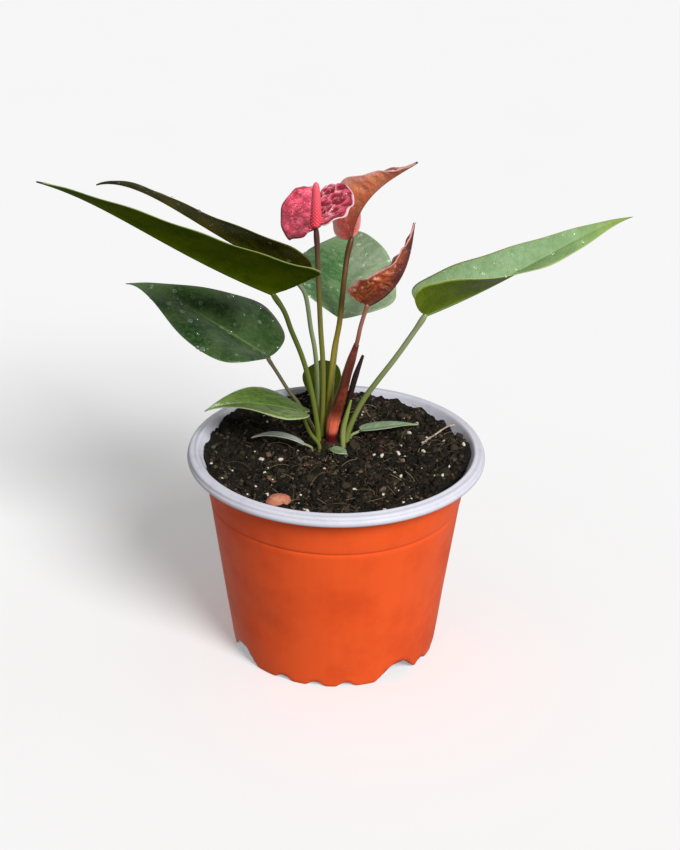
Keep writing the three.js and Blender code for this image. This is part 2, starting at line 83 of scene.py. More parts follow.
class Signal:
    """What a socket carries. Maths on it adds Math nodes."""

    def __init__(self, wiring: "Wiring", socket: bpy.types.NodeSocket) -> None:
        """Wraps an output socket of one of the wiring's nodes."""
        self.wiring = wiring
        self.socket = socket

    def maths(self, operation: str, *values: "Signal | float") -> "Signal":
        """Adds one Math node.

        Args:
            operation: The node's operation.
            values: What its sockets take, in order.

        Returns:
            The node's result.
        """
        return self.wiring.result("ShaderNodeMath", {"operation": operation}, dict(enumerate(values)))

    def __add__(self, other: "Signal | float") -> "Signal":
        """This plus other."""
        return self.maths("ADD", self, other)

    __radd__ = __add__

    def __sub__(self, other: "Signal | float") -> "Signal":
        """This minus other."""
        return self.maths("SUBTRACT", self, other)

    def __rsub__(self, other: float) -> "Signal":
        """Other minus this."""
        return self.maths("SUBTRACT", other, self)

    def __mul__(self, other: "Signal | float") -> "Signal":
        """This times other."""
        return self.maths("MULTIPLY", self, other)

    __rmul__ = __mul__

    def __pow__(self, other: float) -> "Signal":
        """This to the power of other."""
        return self.maths("POWER", self, other)

    def __abs__(self) -> "Signal":
        """This without its sign."""
        return self.maths("ABSOLUTE", self)

    def fraction(self) -> "Signal":
        """What is left of this past a whole number."""
        return self.maths("FRACT", self)

    def highest(self, other: "Signal | float") -> "Signal":
        """The greater of this and other."""
        return self.maths("MAXIMUM", self, other)

    def step(self, low: float, high: float) -> "Signal":
        """Rises smoothly from 0 at low to 1 at high, or falls from 1 where high is the lower.

        Args:
            low: Where the result is 0.
            high: Where the result is 1.

        Returns:
            A number from 0 to 1.
        """
        settings = {"interpolation_type": "SMOOTHSTEP", "clamp": True}
        sockets = {0: self, 1: min(low, high), 2: max(low, high), 3: 0.0, 4: 1.0}
        rising = self.wiring.result("ShaderNodeMapRange", settings, sockets)
        return rising if low < high else 1 - rising


class Wiring:
    """Adds nodes to a tree and links them."""

    def __init__(self, tree: bpy.types.NodeTree) -> None:
        """Starts on a tree."""
        self.tree = tree

    def node(self, kind: str, settings: dict | None = None, sockets: dict | None = None) -> bpy.types.Node:
        """Adds a node.

        Args:
            kind: Its Blender type.
            settings: Its own settings, which are made first.
            sockets: A value or a signal for each input, by its name or number.

        Returns:
            The new node.
        """
        made = self.tree.nodes.new(kind)
        for name, value in (settings or {}).items():
            setattr(made, name, value)
        for key, value in (sockets or {}).items():
            if isinstance(value, Signal):
                self.tree.links.new(value.socket, made.inputs[key])
            else:
                made.inputs[key].default_value = value
        return made

    def result(
        self, kind: str, settings: dict | None = None, sockets: dict | None = None, output: int | str = 0
    ) -> Signal:
        """Adds a node and reads one of its outputs.

        Args:
            kind: Its Blender type.
            settings: Its own settings.
            sockets: A value or a signal for each input, by its name or number.
            output: The output's name or number.

        Returns:
            What the output carries.
        """
        return Signal(self, self.node(kind, settings, sockets).outputs[output])

    def chance(self, seed: Signal | int, low: float = 0.0, high: float = 1.0) -> Signal:
        """A random number from low to high for each shape of a geometry tree."""
        return self.result("FunctionNodeRandomValue", {"data_type": "FLOAT"}, {2: low, 3: high, "Seed": seed}, 1)


class Paint(Wiring):
    """One material while it is being made, with its patterns in millimetres about the pot's axis."""

    def __init__(self, name: str) -> None:
        """Starts a material with a Principled shader.

        Args:
            name: Name of the material.
        """
        self.material = bpy.data.materials.new(name)
        self.material.use_nodes = True
        super().__init__(self.material.node_tree)
        self.tree.nodes.clear()
        self.shader = self.node("ShaderNodeBsdfPrincipled")
        self.node("ShaderNodeOutputMaterial", sockets={"Surface": Signal(self, self.shader.outputs[0])})
        metres = self.result("ShaderNodeTexCoord", output="Object")
        scaled = {0: metres, 1: (1 / MM,) * 3, 2: tuple(MIDDLE)}
        self.place = self.result("ShaderNodeVectorMath", {"operation": "MULTIPLY_ADD"}, scaled)

    def mark(self, name: str) -> Signal:
        """The vector that each point of the mesh carries under a name."""
        return self.result("ShaderNodeAttribute", {"attribute_name": name}, output="Vector")

    def parts(self, vector: Signal) -> list[Signal]:
        """The three numbers of a vector."""
        return [Signal(self, s) for s in self.node("ShaderNodeSeparateXYZ", sockets={0: vector}).outputs]

    def vector(self, *numbers: Signal | float) -> Signal:
        """A vector of three numbers."""
        return self.result("ShaderNodeCombineXYZ", sockets=dict(enumerate(numbers)))

    def noise(self, scale: float, detail: float = 3.0, rough: float = 0.5, at: Signal | None = None) -> Signal:
        """Soft noise from 0 to 1.

        Args:
            scale: Lumps in a millimetre.
            detail: Octaves past the first.
            rough: How much each octave adds.
            at: Where it is read, if not at the place in millimetres.

        Returns:
            The noise.
        """
        sockets = {"Vector": at or self.place, "Scale": scale, "Detail": detail, "Roughness": rough}
        return self.result("ShaderNodeTexNoise", None, sockets)

    def cells(self, scale: float, feature: str = "F1", at: Signal | None = None) -> Signal:
        """The distance in a pattern of cells, to the cell's middle or to its edge.

        Args:
            scale: Cells in a millimetre.
            feature: F1 or SMOOTH_F1 for the middle, DISTANCE_TO_EDGE for the edge.
            at: Where it is read, if not at the place in millimetres.

        Returns:
            The distance, in cells.
        """
        sockets = {"Vector": at or self.place, "Scale": scale}
        return self.result("ShaderNodeTexVoronoi", {"feature": feature}, sockets)

    def mix(self, share: Signal | float, first: Signal | Colour, second: Signal | Colour) -> Signal:
        """A colour between two.

        Args:
            share: How much of the second.
            first: The colour at 0.
            second: The colour at 1.

        Returns:
            The mixed colour.
        """
        return self.result("ShaderNodeMix", {"data_type": "RGBA"}, {0: share, 6: first, 7: second}, 2)

    def layers(self, lowest: Signal | Colour, *coats: tuple[Signal, Signal | Colour]) -> Signal:
        """Lays colours over one another.

        Args:
            lowest: The colour under all others.
            coats: The others upwards, each after the share of it that shows.

        Returns:
            The colour that is seen.
        """
        seen = lowest
        for share, colour in coats:
            seen = self.mix(share, seen, colour)
        return seen

    def bump(self, height: Signal, depth: float) -> Signal:
        """A normal that a height from 0 to 1 bends, for a relief of depth millimetres."""
        return self.result("ShaderNodeBump", None, {"Strength": 1.0, "Distance": depth * MM, "Height": height})

    def dress(self, sockets: dict) -> bpy.types.Material:
        """Sets the shader's inputs.

        Args:
            sockets: Values or signals by the names of the inputs.

        Returns:
            The finished material.
        """
        for name, value in sockets.items():
            if isinstance(value, Signal):
                self.tree.links.new(value.socket, self.shader.inputs[name])
            else:
                self.shader.inputs[name].default_value = value
        return self.material


# ---- finishes ----


@cache
def painted(finish: "Finish") -> bpy.types.Material:
    """The one material of a finish."""
    return finish.paint()


@dataclass(frozen=True)
class Finish:
    """What a surface is made of, under the name of its material."""

    name: str

    def paint(self) -> bpy.types.Material:
        """Makes the material."""
        raise NotImplementedError


@dataclass(frozen=True)
class LeafFinish(Finish):
    """A leaf blade.

    Under "leaf" its mesh carries share of length, share of half width and vein count, and under "face" 1 on the
    upper face and how far up a blister it is.
    """

    upper: Colour  # of the left half, as seen from the petiole
    # of the right half; on the pale and grey-green leaves it is lightened as painted sheen and light on that half
    upper_right: Colour
    patch: Colour  # what clouds the upper face
    under: Colour
    under_patch: Colour
    # of the margin; the copper leaf's wide pink rim is a painted highlight
    vein: Colour
    rim: Colour
    tip: Colour
    foot: Colour = grey(0.0)  # round the petiole; on the maroon leaf a painted highlight
    foot_share: float = 0.0
    streak: Colour = grey(0.0)  # drawn out along the blade: dark streaks on the light green leaf, pale painted highlights on the young maroon and copper leaves, and the colour of their painted glints
    streak_share: float = 0.0
    painted_glint: float = 0.0  # painted highlight: how much the crests of the blisters take the streaks' colour, as painted glints
    glow: float = 0.0  # painted glow: the blade's own colour given off as light, to lift it where it lies in shade
    roughness: float = 0.36
    specular: float = 0.25
    coat: float = 0.15  # of the upper face
    coat_under: float = 0.0
    vein_share: float = 0.14
    rib_share: float = 0.6
    rim_share: float = 0.6
    rim_width: float = 0.03  # share of the half width
    keel_share: float = 0.0  # how much the middle third takes the veins' colour
    point: Colour = (0.07, 0.045, 0.02, 1.0)  # the dry end of the tip
    tip_start: float = 0.62  # share of the length
    mottle: float = 0.35
    depth: float = 0.16  # mm

    def paint(self) -> bpy.types.Material:
        """Makes the material.

        Returns:
            The material.
        """
        ink = Paint(self.name)
        along, across, count = ink.parts(ink.mark("leaf"))
        face, crest, _ = ink.parts(ink.mark("face"))
        cloud = ink.noise(0.09, 4.0, 0.6).step(0.36, 0.66)
        spots = ink.noise(0.42, 4.0, 0.65).step(0.45, 0.68)
        fine = ink.noise(1.5, 3.0, 0.6)
        line = abs(count.fraction() - 0.5).step(0.455, 0.5)
        branch = abs((count * 3 + 0.5).fraction() - 0.5).step(0.45, 0.5) * 0.3
        rib = abs(across).step(0.05, 0.015) * along.step(0.85, 0.15)
        wide = abs(across) + spots * self.rim_width * 0.8
        net = ink.cells(0.6, "DISTANCE_TO_EDGE").step(0.0, 0.1)
        # the right half takes its own colour, on some leaves with painted sheen
        upper = ink.layers(self.upper, (across.step(0.03, -0.03), self.upper_right), (cloud * 0.7, self.patch))
        under = ink.mix(cloud, self.under, self.under_patch)
        # streaks along the blade: the leaf's own tone on some leaves, painted highlights on the young ones
        streaks = ink.noise(1.0, 4.0, 0.6, ink.vector(along * 5, across * 12, face * 9)).step(0.5, 0.6)
        # painted glints: pale patches on the blisters' crests, where a highlight would fall
        painted_glints = crest.step(0.4, 0.9) * ink.noise(0.7, 2.0).step(0.47, 0.6)
        colour = ink.layers(
            ink.mix(face, under, upper),
            (spots * self.mottle, ink.mix(face, self.under_patch, self.patch)),
            (along.step(0.3, 0.04) * self.foot_share, self.foot),
            (streaks * self.streak_share, self.streak),
            (painted_glints * self.painted_glint, self.streak),
            (along.step(self.tip_start, 1.0) * 0.85, self.tip),
            ((line + branch + (1 - net) * 0.2) * self.vein_share, self.vein),
            (abs(across).step(0.55, 0.05) * self.keel_share, self.vein),
            (rib * self.rib_share, self.vein),
            (wide.step(0.99 - self.rim_width * 1.1, 0.993) * self.rim_share, self.rim),
            (along.step(0.96, 0.995) * 0.75, self.point),
        )
        height = net * 0.35 + fine * 0.35 + spots * 0.5 + (1 - line) * 0.5
        # painted glow: the colour is also given off as light, to brighten the blade
        light = {"Emission Color": colour, "Emission Strength": self.glow} if self.glow else {}
        return ink.dress({
            "Base Color": colour,
            "Roughness": self.roughness + 0.2 * (fine - 0.5) + 0.12 * spots - 0.12 * face,
            "Normal": ink.bump(height, self.depth),
            "Coat Weight": self.coat_under + face * (self.coat - self.coat_under),
            "Coat Roughness": 0.1,
            "Specular IOR Level": self.specular,
            **light,
        })


@dataclass(frozen=True)
class StemFinish(Finish):
    """A petiole, peduncle or sheath.

    Under "stem" its mesh carries share of length, the side from 0 to 1 and back, and millimetres along.
    """

    base: Colour
    top: Colour
    streak: Colour
    turn_point: float = 0.55  # share of the length where the two colours meet
    roughness: float = 0.4
    grain: float = 0.12  # depth of the fine ribs, in mm
    turn_width: float = 0.3  # share of the length, to each side of turn_point
    foot: Colour = grey(0.0)  # below foot_end
    foot_end: float = -1.0  # share of the length
    streak_share: float = 0.5
    coat: float = 0.1

    def paint(self) -> bpy.types.Material:
        """Makes the material.

        Returns:
            The material.
        """
        ink = Paint(self.name)
        share, side, travel = ink.parts(ink.mark("stem"))
        lines = ink.noise(1.0, 3.0, 0.6, ink.vector(side * 14, travel * 0.05, share * 3))
        spots = ink.cells(0.8, at=ink.vector(side * 9, travel * 0.35, 0.0)).step(0.16, 0.05)
        wide = ink.noise(0.12, 3.0, 0.6)
        turned = share.step(self.turn_point - self.turn_width, self.turn_point + self.turn_width)
        colour = ink.layers(
            self.base,
            (turned, self.top),
            (lines.step(0.5, 0.72) * self.streak_share, self.streak),
            (wide.step(0.5, 0.75) * 0.2, self.base),
            (spots * 0.35, self.streak),
            (share.step(self.foot_end + 0.03, self.foot_end - 0.03), self.foot),
        )
        return ink.dress({
            "Base Color": colour,
            "Roughness": self.roughness + 0.2 * (lines - 0.5),
            "Normal": ink.bump(lines * 0.7 + wide * 0.3, self.grain),
            "Coat Weight": self.coat,
            "Specular IOR Level": 0.3,
        })


@dataclass(frozen=True)
class SpatheFinish(Finish):
    """The glossy blistered spathe, with the marks of a leaf, and painted highlight, shade and glow on it."""

    deep: Colour  # between the blisters: the spathe's dark red, deepened as painted shade in the hollows
    bright: Colour  # on them: the spathe's pink, lifted as a painted highlight on the crests
    # pale pink of the painted highlights on the crests and specks, and of the right-hand margin
    rim: Colour
    back: Colour
    glow: float = 0.14  # painted glow: the spathe's colour given off as light, to brighten it
    depth: float = 0.4  # mm

    def paint(self) -> bpy.types.Material:
        """Makes the material.

        Returns:
            The material.
        """
        ink = Paint(self.name)
        along, across, count = ink.parts(ink.mark("leaf"))
        face, crest, _ = ink.parts(ink.mark("face"))
        fine = ink.cells(1.2, "SMOOTH_F1")
        cloud = ink.noise(0.14, 4.0, 0.6).step(0.3, 0.7)
        spots = ink.noise(0.8, 4.0, 0.65).step(0.4, 0.7)
        line = abs(count.fraction() - 0.5).step(0.44, 0.5)
        right = across.step(0.02, -0.02)
        # From deep to bright: lighter up the blisters' crests as painted highlight, darker in the hollows as painted
        # shade, with random clouds, and darker over the right half.
        crest_highlight_and_tone = crest.step(0.0, 0.8) * 0.9 + cloud * 0.2 + 0.24 - right * 0.5
        dots = ink.cells(0.75).step(0.38, 0.2) * ink.noise(0.16, 2.0).step(0.42, 0.56)
        lobe = along.step(0.05, 0.0) * abs(across).step(0.45, 0.9)
        front = ink.layers(
            self.deep,
            (crest_highlight_and_tone.highest(0.0), self.bright),
            # painted highlights: pale glints on the crests, most on the right half, and pale specks between the fine
            # cells
            (crest.step(0.6, 0.95) * (spots * 0.45 + right * 0.7), self.rim),
            (line * 0.25, self.deep),
            (fine.step(0.35, 0.75) * 0.45 * (1 - cloud * 0.5), self.deep),
            (fine.step(0.24, 0.1) * spots * 0.7, self.rim),
            (dots * (1 - right) * 0.75, self.deep),
        )
        colour = ink.layers(
            self.back,
            (face, front),
            # painted shade: the lobes behind the petiole take the back's dark red where they curl under
            (lobe * 0.75, self.back),
            (along.step(0.86, 1.0) * 0.5, self.back),
            (abs(across).step(0.94, 0.985) * 0.8, ink.mix(right, self.back, self.rim)),
        )
        height = (1 - fine) * 0.5 + spots * 0.3 - line * 0.4
        return ink.dress({
            "Base Color": colour,
            "Roughness": 0.13 + 0.1 * cloud,
            "Normal": ink.bump(height, self.depth),
            "Coat Weight": 0.3,
            "Coat Roughness": 0.05,
            "Specular IOR Level": 0.6,
            # painted glow: the colour is also given off as light
            "Emission Color": colour,
            "Emission Strength": self.glow,
        })


@dataclass(frozen=True)
class SpadixFinish(Finish):
    """The spadix: coral florets, each with a paler tip, that fade upwards."""

    low: Colour
    high: Colour
    tip: Colour

    def paint(self) -> bpy.types.Material:
        """Makes the material.

        Returns:
            The material.
        """
        ink = Paint(self.name)
        share, rise, _ = ink.parts(ink.mark("floret"))
        colour = ink.layers(
            self.low,
            (share.step(0.1, 0.9), self.high),
            (rise.step(0.55, 0.95) * 0.55, self.tip),
            (ink.noise(1.4, 3.0).step(0.45, 0.7) * 0.3, self.low),
        )
        return ink.dress({
            "Base Color": colour,
            "Roughness": 0.5 - 0.14 * rise,
            "Normal": ink.bump(ink.noise(4.0, 3.0, 0.6), 0.05),
            "Subsurface Weight": 0.12,
            "Subsurface Scale": 0.001,
        })


@dataclass(frozen=True)
class PotFinish(Finish):
    """Thin formed plastic: drawn streaks, clouds of haze, scuffs and a dusting of soil."""

    colour: Colour
    shade: Colour
    dust: Colour
    dust_share: float
    roughness: float = 0.34

    def paint(self) -> bpy.types.Material:
        """Makes the material.

        Returns:
            The material.
        """
        ink = Paint(self.name)
        x, y, z = ink.parts(ink.place)
        drawn = ink.noise(1.0, 3.0, 0.6, ink.vector(x * 0.25, y * 0.25, z * 0.015))
        haze = ink.noise(0.035, 4.0, 0.6).step(0.4, 0.75)
        grain = ink.noise(2.6, 2.0, 0.5)
        scuff_lines = ink.noise(1.0, 2.0, 0.5, ink.vector(x * 0.12, y * 0.12, z * 1.6)).step(0.68, 0.76)
        scuffs = scuff_lines * ink.noise(0.06, 2.0).step(0.52, 0.66)
        speck = ink.cells(0.16).step(0.06, 0.02) * ink.noise(0.05).step(0.45, 0.6)
        grime = ink.noise(0.22, 5.0, 0.7).step(0.5, 0.72) * self.dust_share
        colour = ink.layers(
            self.colour,
            (haze * 0.7 + drawn * 0.3, self.shade),
            (scuffs * 0.5, self.dust),
            (grime.highest(speck * 0.6), self.dust),
        )
        height = drawn * 0.6 + grain * 0.25 + scuffs * 0.3
        return ink.dress({
            "Base Color": colour,
            "Roughness": self.roughness + 0.14 * haze + 0.1 * scuffs,
            "Normal": ink.bump(height, 0.14),
            "Specular IOR Level": 0.16,
            "Subsurface Weight": 0.05,
            "Subsurface Scale": 0.002,
        })


@dataclass(frozen=True)
class EarthFinish(Finish):
    """Anything crumbly: peat, bark, perlite, fibres, clay and dry wood, in three mixed colours."""

    dark: Colour
    middle: Colour
    light: Colour
    scale: float  # lumps in a millimetre
    light_share: float = 0.3
    depth: float = 0.35  # mm
    roughness: float = 0.85
    tone_share: float = 0.0  # how much lighter the lightest of many is

    def paint(self) -> bpy.types.Material:
        """Makes the material.

        Returns:
            The material.
        """
        ink = Paint(self.name)
        lumps = ink.noise(self.scale, 5.0, 0.65)
        fine = ink.noise(self.scale * 4, 4.0, 0.7)
        wide = ink.noise(self.scale * 0.18, 3.0, 0.55)
        pits = ink.cells(self.scale * 1.6).step(0.1, 0.5)
        tone = ink.parts(ink.mark("tone"))[0]
        colour = ink.layers(
            self.dark,
            (lumps.step(0.35, 0.65), self.middle),
            (fine.step(0.55, 0.75) * self.light_share, self.light),
            (wide.step(0.45, 0.7) * 0.5, self.dark),
            (tone.step(0.6, 1.0) * self.tone_share, self.light),
        )
        return ink.dress({
            "Base Color": colour,
            "Specular IOR Level": 0.2,
            "Roughness": self.roughness - 0.2 * lumps,
            "Normal": ink.bump(lumps * 0.5 + fine * 0.3 + pits * 0.3, self.depth),
        })


@dataclass(frozen=True)
class WaterFinish(Finish):
    """Drops of clear water."""

    def paint(self) -> bpy.types.Material:
        """Makes the material.

        Returns:
            The material.
        """
        ink = Paint(self.name)
        return ink.dress({
            "Base Color": grey(1.0),
            "Roughness": 0.02 + 0.02 * ink.noise(0.8),
            "Transmission Weight": 0.93,
            "IOR": 1.4,
            "Specular IOR Level": 0.9,
        })


@dataclass(frozen=True)
class FloorFinish(Finish):
    """A plain pale sheet."""

    def paint(self) -> bpy.types.Material:
        """Makes the material.

        Returns:
            The material.
        """
        ink = Paint(self.name)
        colour = ink.mix(ink.noise(0.01, 2.0), grey(0.74), grey(0.76))
        glow = {"Emission Color": grey(1.0), "Emission Strength": 0.2}  # a lit sheet, with a light shadow
        return ink.dress({"Base Color": colour, "Roughness": 0.9, **glow})


WATER = WaterFinish("water_drops")
OLIVE = LeafFinish(
    "leaf_dark_olive",
    upper=tint(56, 84, 34), upper_right=tint(62, 90, 38), patch=tint(44, 70, 26), under=tint(78, 90, 0),
    under_patch=tint(56, 76, 0), vein=tint(80, 92, 10), rim=tint(150, 164, 96), tip=tint(80, 88, 44),
    roughness=0.7, specular=0.02, mottle=0.15, rim_share=0.8,
)
BROWN_OLIVE = LeafFinish(
    "leaf_brown_olive",
    upper=tint(50, 74, 36), upper_right=tint(46, 66, 36), patch=tint(38, 58, 28), under=tint(122, 112, 28),
    under_patch=tint(80, 78, 20), vein=tint(90, 84, 26), rim=tint(122, 126, 62), tip=tint(50, 56, 36),
    roughness=0.6, specular=0.05, coat_under=0.08,
)
DEEP = LeafFinish(
    "leaf_deep_green",
    upper=tint(26, 60, 22), upper_right=tint(30, 64, 24), patch=tint(80, 104, 60), under=tint(72, 108, 54),
    under_patch=tint(60, 92, 40), vein=tint(112, 140, 82), rim=tint(72, 104, 48), tip=tint(110, 140, 88),
    roughness=0.32, coat=0.35, mottle=0.6,
)
LIGHT = LeafFinish(
    "leaf_light_green",
    upper=tint(134, 154, 92), upper_right=tint(98, 124, 56), patch=tint(66, 90, 38), under=tint(120, 150, 70),
    under_patch=tint(98, 128, 56), vein=tint(138, 164, 92), rim=tint(186, 202, 146), tip=tint(112, 138, 68),
    vein_share=0.3, mottle=0.65, rim_width=0.08, streak=tint(44, 72, 28), streak_share=0.6,
)
# The pale green leaf's light right half is a painted reflection of the sky; its left half is the darker green.
PALE = LeafFinish(
    "leaf_pale_green",
    upper=tint(48, 100, 38), upper_right=tint(168, 188, 152), patch=tint(116, 146, 100), under=tint(84, 104, 26),
    under_patch=tint(70, 88, 16), vein=tint(156, 184, 136), rim=tint(160, 184, 130), tip=tint(140, 166, 118),
    mottle=0.6,
)
# The grey-green leaf's right half is lightened as painted light, to even it with the left where it tips away from the
# key light.
LONG = LeafFinish(
    "leaf_grey_green",
    upper=tint(148, 176, 134), upper_right=tint(150, 180, 116), patch=tint(118, 152, 96), under=tint(98, 116, 10),
    under_patch=tint(82, 98, 8), vein=tint(152, 180, 120), rim=tint(182, 196, 104), tip=tint(130, 152, 54),
    specular=0.15, rim_width=0.06, mottle=0.5,
)
# On the young maroon leaf the orange foot by the petiole, the pale streaks and the glints on its crests are painted
# highlights, and its glow is painted light.
MAROON = LeafFinish(
    "leaf_maroon",
    upper=tint(212, 132, 126), upper_right=tint(200, 116, 110), patch=tint(150, 70, 60), under=tint(206, 92, 46),
    under_patch=tint(112, 28, 14), vein=tint(60, 16, 14), rim=tint(226, 152, 146), tip=tint(34, 18, 26),
    tip_start=0.3, keel_share=0.75, roughness=0.2, coat=0.4, coat_under=0.5, specular=0.6, mottle=0.7,
    rim_share=0.95, rim_width=0.12, depth=0.2, streak=tint(250, 168, 118), streak_share=0.25, painted_glint=0.8, glow=0.1,
    foot=tint(240, 138, 80), foot_share=0.22,
)
# On the young copper leaf the wide pink rim, the pale streaks and the glints on its crests are painted highlights,
# and its glow is painted light; its salmon foot is the lobes' own red.
COPPER = LeafFinish(
    "leaf_copper",
    upper=tint(206, 96, 70), upper_right=tint(184, 86, 58), patch=tint(232, 164, 146), under=tint(255, 156, 104),
    under_patch=tint(238, 112, 78), vein=tint(112, 52, 28), rim=tint(250, 190, 184), tip=tint(84, 48, 38),
    foot=tint(255, 104, 96), foot_share=1.0, streak=tint(255, 204, 178), streak_share=0.12, painted_glint=0.45, glow=0.13,
    tip_start=0.42, roughness=0.2, coat=0.4, coat_under=0.5, specular=0.6, rim_width=0.3, keel_share=0.45,
    vein_share=0.25, mottle=0.5, depth=0.2,
)
ROUND = LeafFinish(
    "leaf_round_olive",
    upper=tint(66, 82, 4), upper_right=tint(58, 74, 4), patch=tint(46, 62, 4), under=tint(60, 74, 14),
    under_patch=tint(48, 60, 10), vein=tint(84, 98, 20), rim=tint(92, 108, 30), tip=tint(66, 82, 14),
    specular=0.1, coat=0.03,
)
SMALL = LeafFinish(
    "leaf_small_pale",
    upper=tint(142, 164, 128), upper_right=tint(124, 148, 110), patch=tint(104, 128, 92), under=tint(104, 122, 96),
    under_patch=tint(88, 106, 82), vein=tint(170, 188, 150), rim=tint(176, 192, 156), tip=tint(146, 160, 112),
)
SILVER = LeafFinish(
    "leaf_small_silver",
    upper=tint(172, 174, 168), upper_right=tint(160, 164, 158), patch=tint(122, 130, 112),
    under=tint(158, 162, 154), under_patch=tint(120, 128, 112), vein=tint(190, 194, 186), rim=tint(200, 202, 196),
    tip=tint(150, 152, 130), mottle=0.5,
)
STEM_OLIVE = StemFinish("stem_olive", tint(108, 120, 46), tint(76, 88, 26), tint(128, 134, 66))
STEM_PALE = StemFinish("stem_pale", tint(132, 144, 86), tint(128, 144, 104), tint(170, 182, 142))
STEM_BROWN = StemFinish("stem_grey_brown", tint(116, 112, 66), tint(92, 86, 60), tint(136, 130, 90))
STEM_LEAF = StemFinish("stem_leaf_green", tint(116, 128, 60), tint(138, 150, 106), tint(164, 172, 132))
STEM_PINK = StemFinish("stem_pink_brown", tint(112, 54, 30), tint(158, 98, 84), tint(184, 128, 110), turn_point=0.3)
STEM_DARK = StemFinish("stem_dark", tint(162, 150, 52), tint(86, 56, 24), tint(116, 86, 34))
STEM_FLOWER = StemFinish("stem_flower", tint(118, 122, 48), tint(88, 52, 48), tint(112, 82, 60), turn_point=0.72)
# The red sheath's salmon base colour is its red lightened by a painted highlight; below it is a darker red foot,
# above it brown.
RED_SHEATH = StemFinish(
    "sheath_red", tint(238, 112, 84), tint(84, 30, 10), tint(120, 44, 24), turn_point=0.34, roughness=0.24,
    grain=0.4, turn_width=0.07, foot=tint(92, 18, 24), foot_end=0.2, streak_share=1.0, coat=0.7,
)
DRY_SHEATH = StemFinish(
    "sheath_dry", tint(70, 36, 28), tint(34, 20, 18), tint(88, 54, 42), turn_point=0.4, roughness=0.6, grain=0.3,
)
GREEN_SHEATH = StemFinish("sheath_green", tint(140, 152, 86), tint(128, 150, 70), tint(170, 184, 120))
SPATHE = SpatheFinish("spathe", tint(128, 0, 26), tint(255, 94, 124), tint(255, 200, 212), tint(104, 22, 24))
SPADIX = SpadixFinish("spadix", tint(238, 62, 84), tint(246, 96, 112), tint(250, 160, 156))
ORANGE = PotFinish("pot_orange", tint(242, 92, 37), tint(218, 74, 26), tint(206, 130, 100), dust_share=0.0)
WHITE = PotFinish(
    "pot_white", tint(214, 213, 224), tint(202, 202, 214), tint(150, 140, 128), dust_share=0.2, roughness=0.4,
)
PEAT = EarthFinish(
    "peat", tint(9, 8, 5), tint(35, 28, 19), tint(92, 80, 60), scale=0.4, light_share=0.5, depth=0.9,
    roughness=0.85, tone_share=0.35,
)
CRUMB = EarthFinish(
    "peat_crumbs", tint(11, 9, 6), tint(38, 31, 21), tint(106, 94, 72), scale=0.45, light_share=0.3, depth=0.5,
    roughness=0.8, tone_share=0.6,
)
BARK = EarthFinish(
    "bark_chips", tint(42, 25, 18), tint(70, 46, 33), tint(132, 102, 80), scale=0.6, light_share=0.4, depth=0.4,
    roughness=0.8, tone_share=0.7,
)
PERLITE = EarthFinish(
    "perlite", tint(196, 190, 170), tint(226, 222, 208), tint(244, 242, 232), scale=1.2, light_share=0.4, depth=0.2,
)
FIBRE = EarthFinish(
    "fibres", tint(60, 46, 30), tint(108, 88, 62), tint(180, 160, 128), scale=0.4, light_share=0.5, depth=0.15,
    roughness=0.85, tone_share=0.8,
)
CLAY = EarthFinish(
    "clay_pebble", tint(176, 104, 78), tint(200, 134, 108), tint(222, 172, 148), scale=0.35, light_share=0.3,
    depth=0.2,
)
TWIG = EarthFinish(
    "dry_twig", tint(150, 130, 114), tint(200, 184, 170), tint(226, 214, 204), scale=0.7, light_share=0.4,
    depth=0.2,
)
CROWN = EarthFinish(
    "crown_bark", tint(30, 22, 13), tint(62, 48, 27), tint(108, 94, 58), scale=0.5, light_share=0.4, depth=0.5,
)


# ---- meshes ----


def put(name: str, data: bpy.types.ID) -> bpy.types.Object:
    """Puts an object in the scene.

    Args:
        name: Name of the object.
        data: Its mesh, camera or light.

    Returns:
        The object.
    """
    made = bpy.data.objects.new(name, data)
    bpy.context.scene.collection.objects.link(made)
    return made


class Skin:
    """The points and faces of one mesh, in millimetres about the pot's axis."""

    def __init__(self) -> None:
        """Starts empty."""
        self.points: list[np.ndarray] = []
        self.faces: list[tuple[int, ...]] = []
        self.paints: list[int] = []  # number of each face's material
        self.marks: dict[str, list[np.ndarray]] = {}
        self.count = 0

    def add(self, points: np.ndarray, faces: list, marks: dict[str, np.ndarray]) -> None:
        """Adds a part of the mesh.

        Args:
            points: One row for each point.
            faces: Numbers of the points of each face, from 0 for the first of these points.
            marks: Three numbers for each point, under each name that a material reads.
        """
        self.points.append(points)
        self.faces += [tuple(self.count + corner for corner in face) for face in faces]
        self.paints += [0] * len(faces)
        for name, values in marks.items():
            self.marks.setdefault(name, []).append(values)
        self.count += len(points)

    def piece(self, name: str, *finishes: Finish) -> bpy.types.Object:
        """Makes the object, with its doubles merged and its faces outwards.

        Args:
            name: Name of the object.
            finishes: The finishes of its materials, by the numbers in paints.

        Returns:
            The object, linked to the scene.
        """
        mesh = bpy.data.meshes.new(name)
        mesh.from_pydata(((np.vstack(self.points) - MIDDLE) * MM).tolist(), [], self.faces)
        mesh.polygons.foreach_set("material_index", self.paints)
        for mark, values in self.marks.items():
            layer = mesh.attributes.new(mark, "FLOAT_VECTOR", "POINT")
            layer.data.foreach_set("vector", np.vstack(values).astype(np.float32).ravel())
        work = bmesh.new()
        work.from_mesh(mesh)
        bmesh.ops.remove_doubles(work, verts=work.verts, dist=SAME_POINT * MM)
        bmesh.ops.recalc_face_normals(work, faces=work.faces)
        work.to_mesh(mesh)
        work.free()
        mesh.shade_smooth()
        for finish in finishes:
            mesh.materials.append(painted(finish))
        return put(name, mesh)


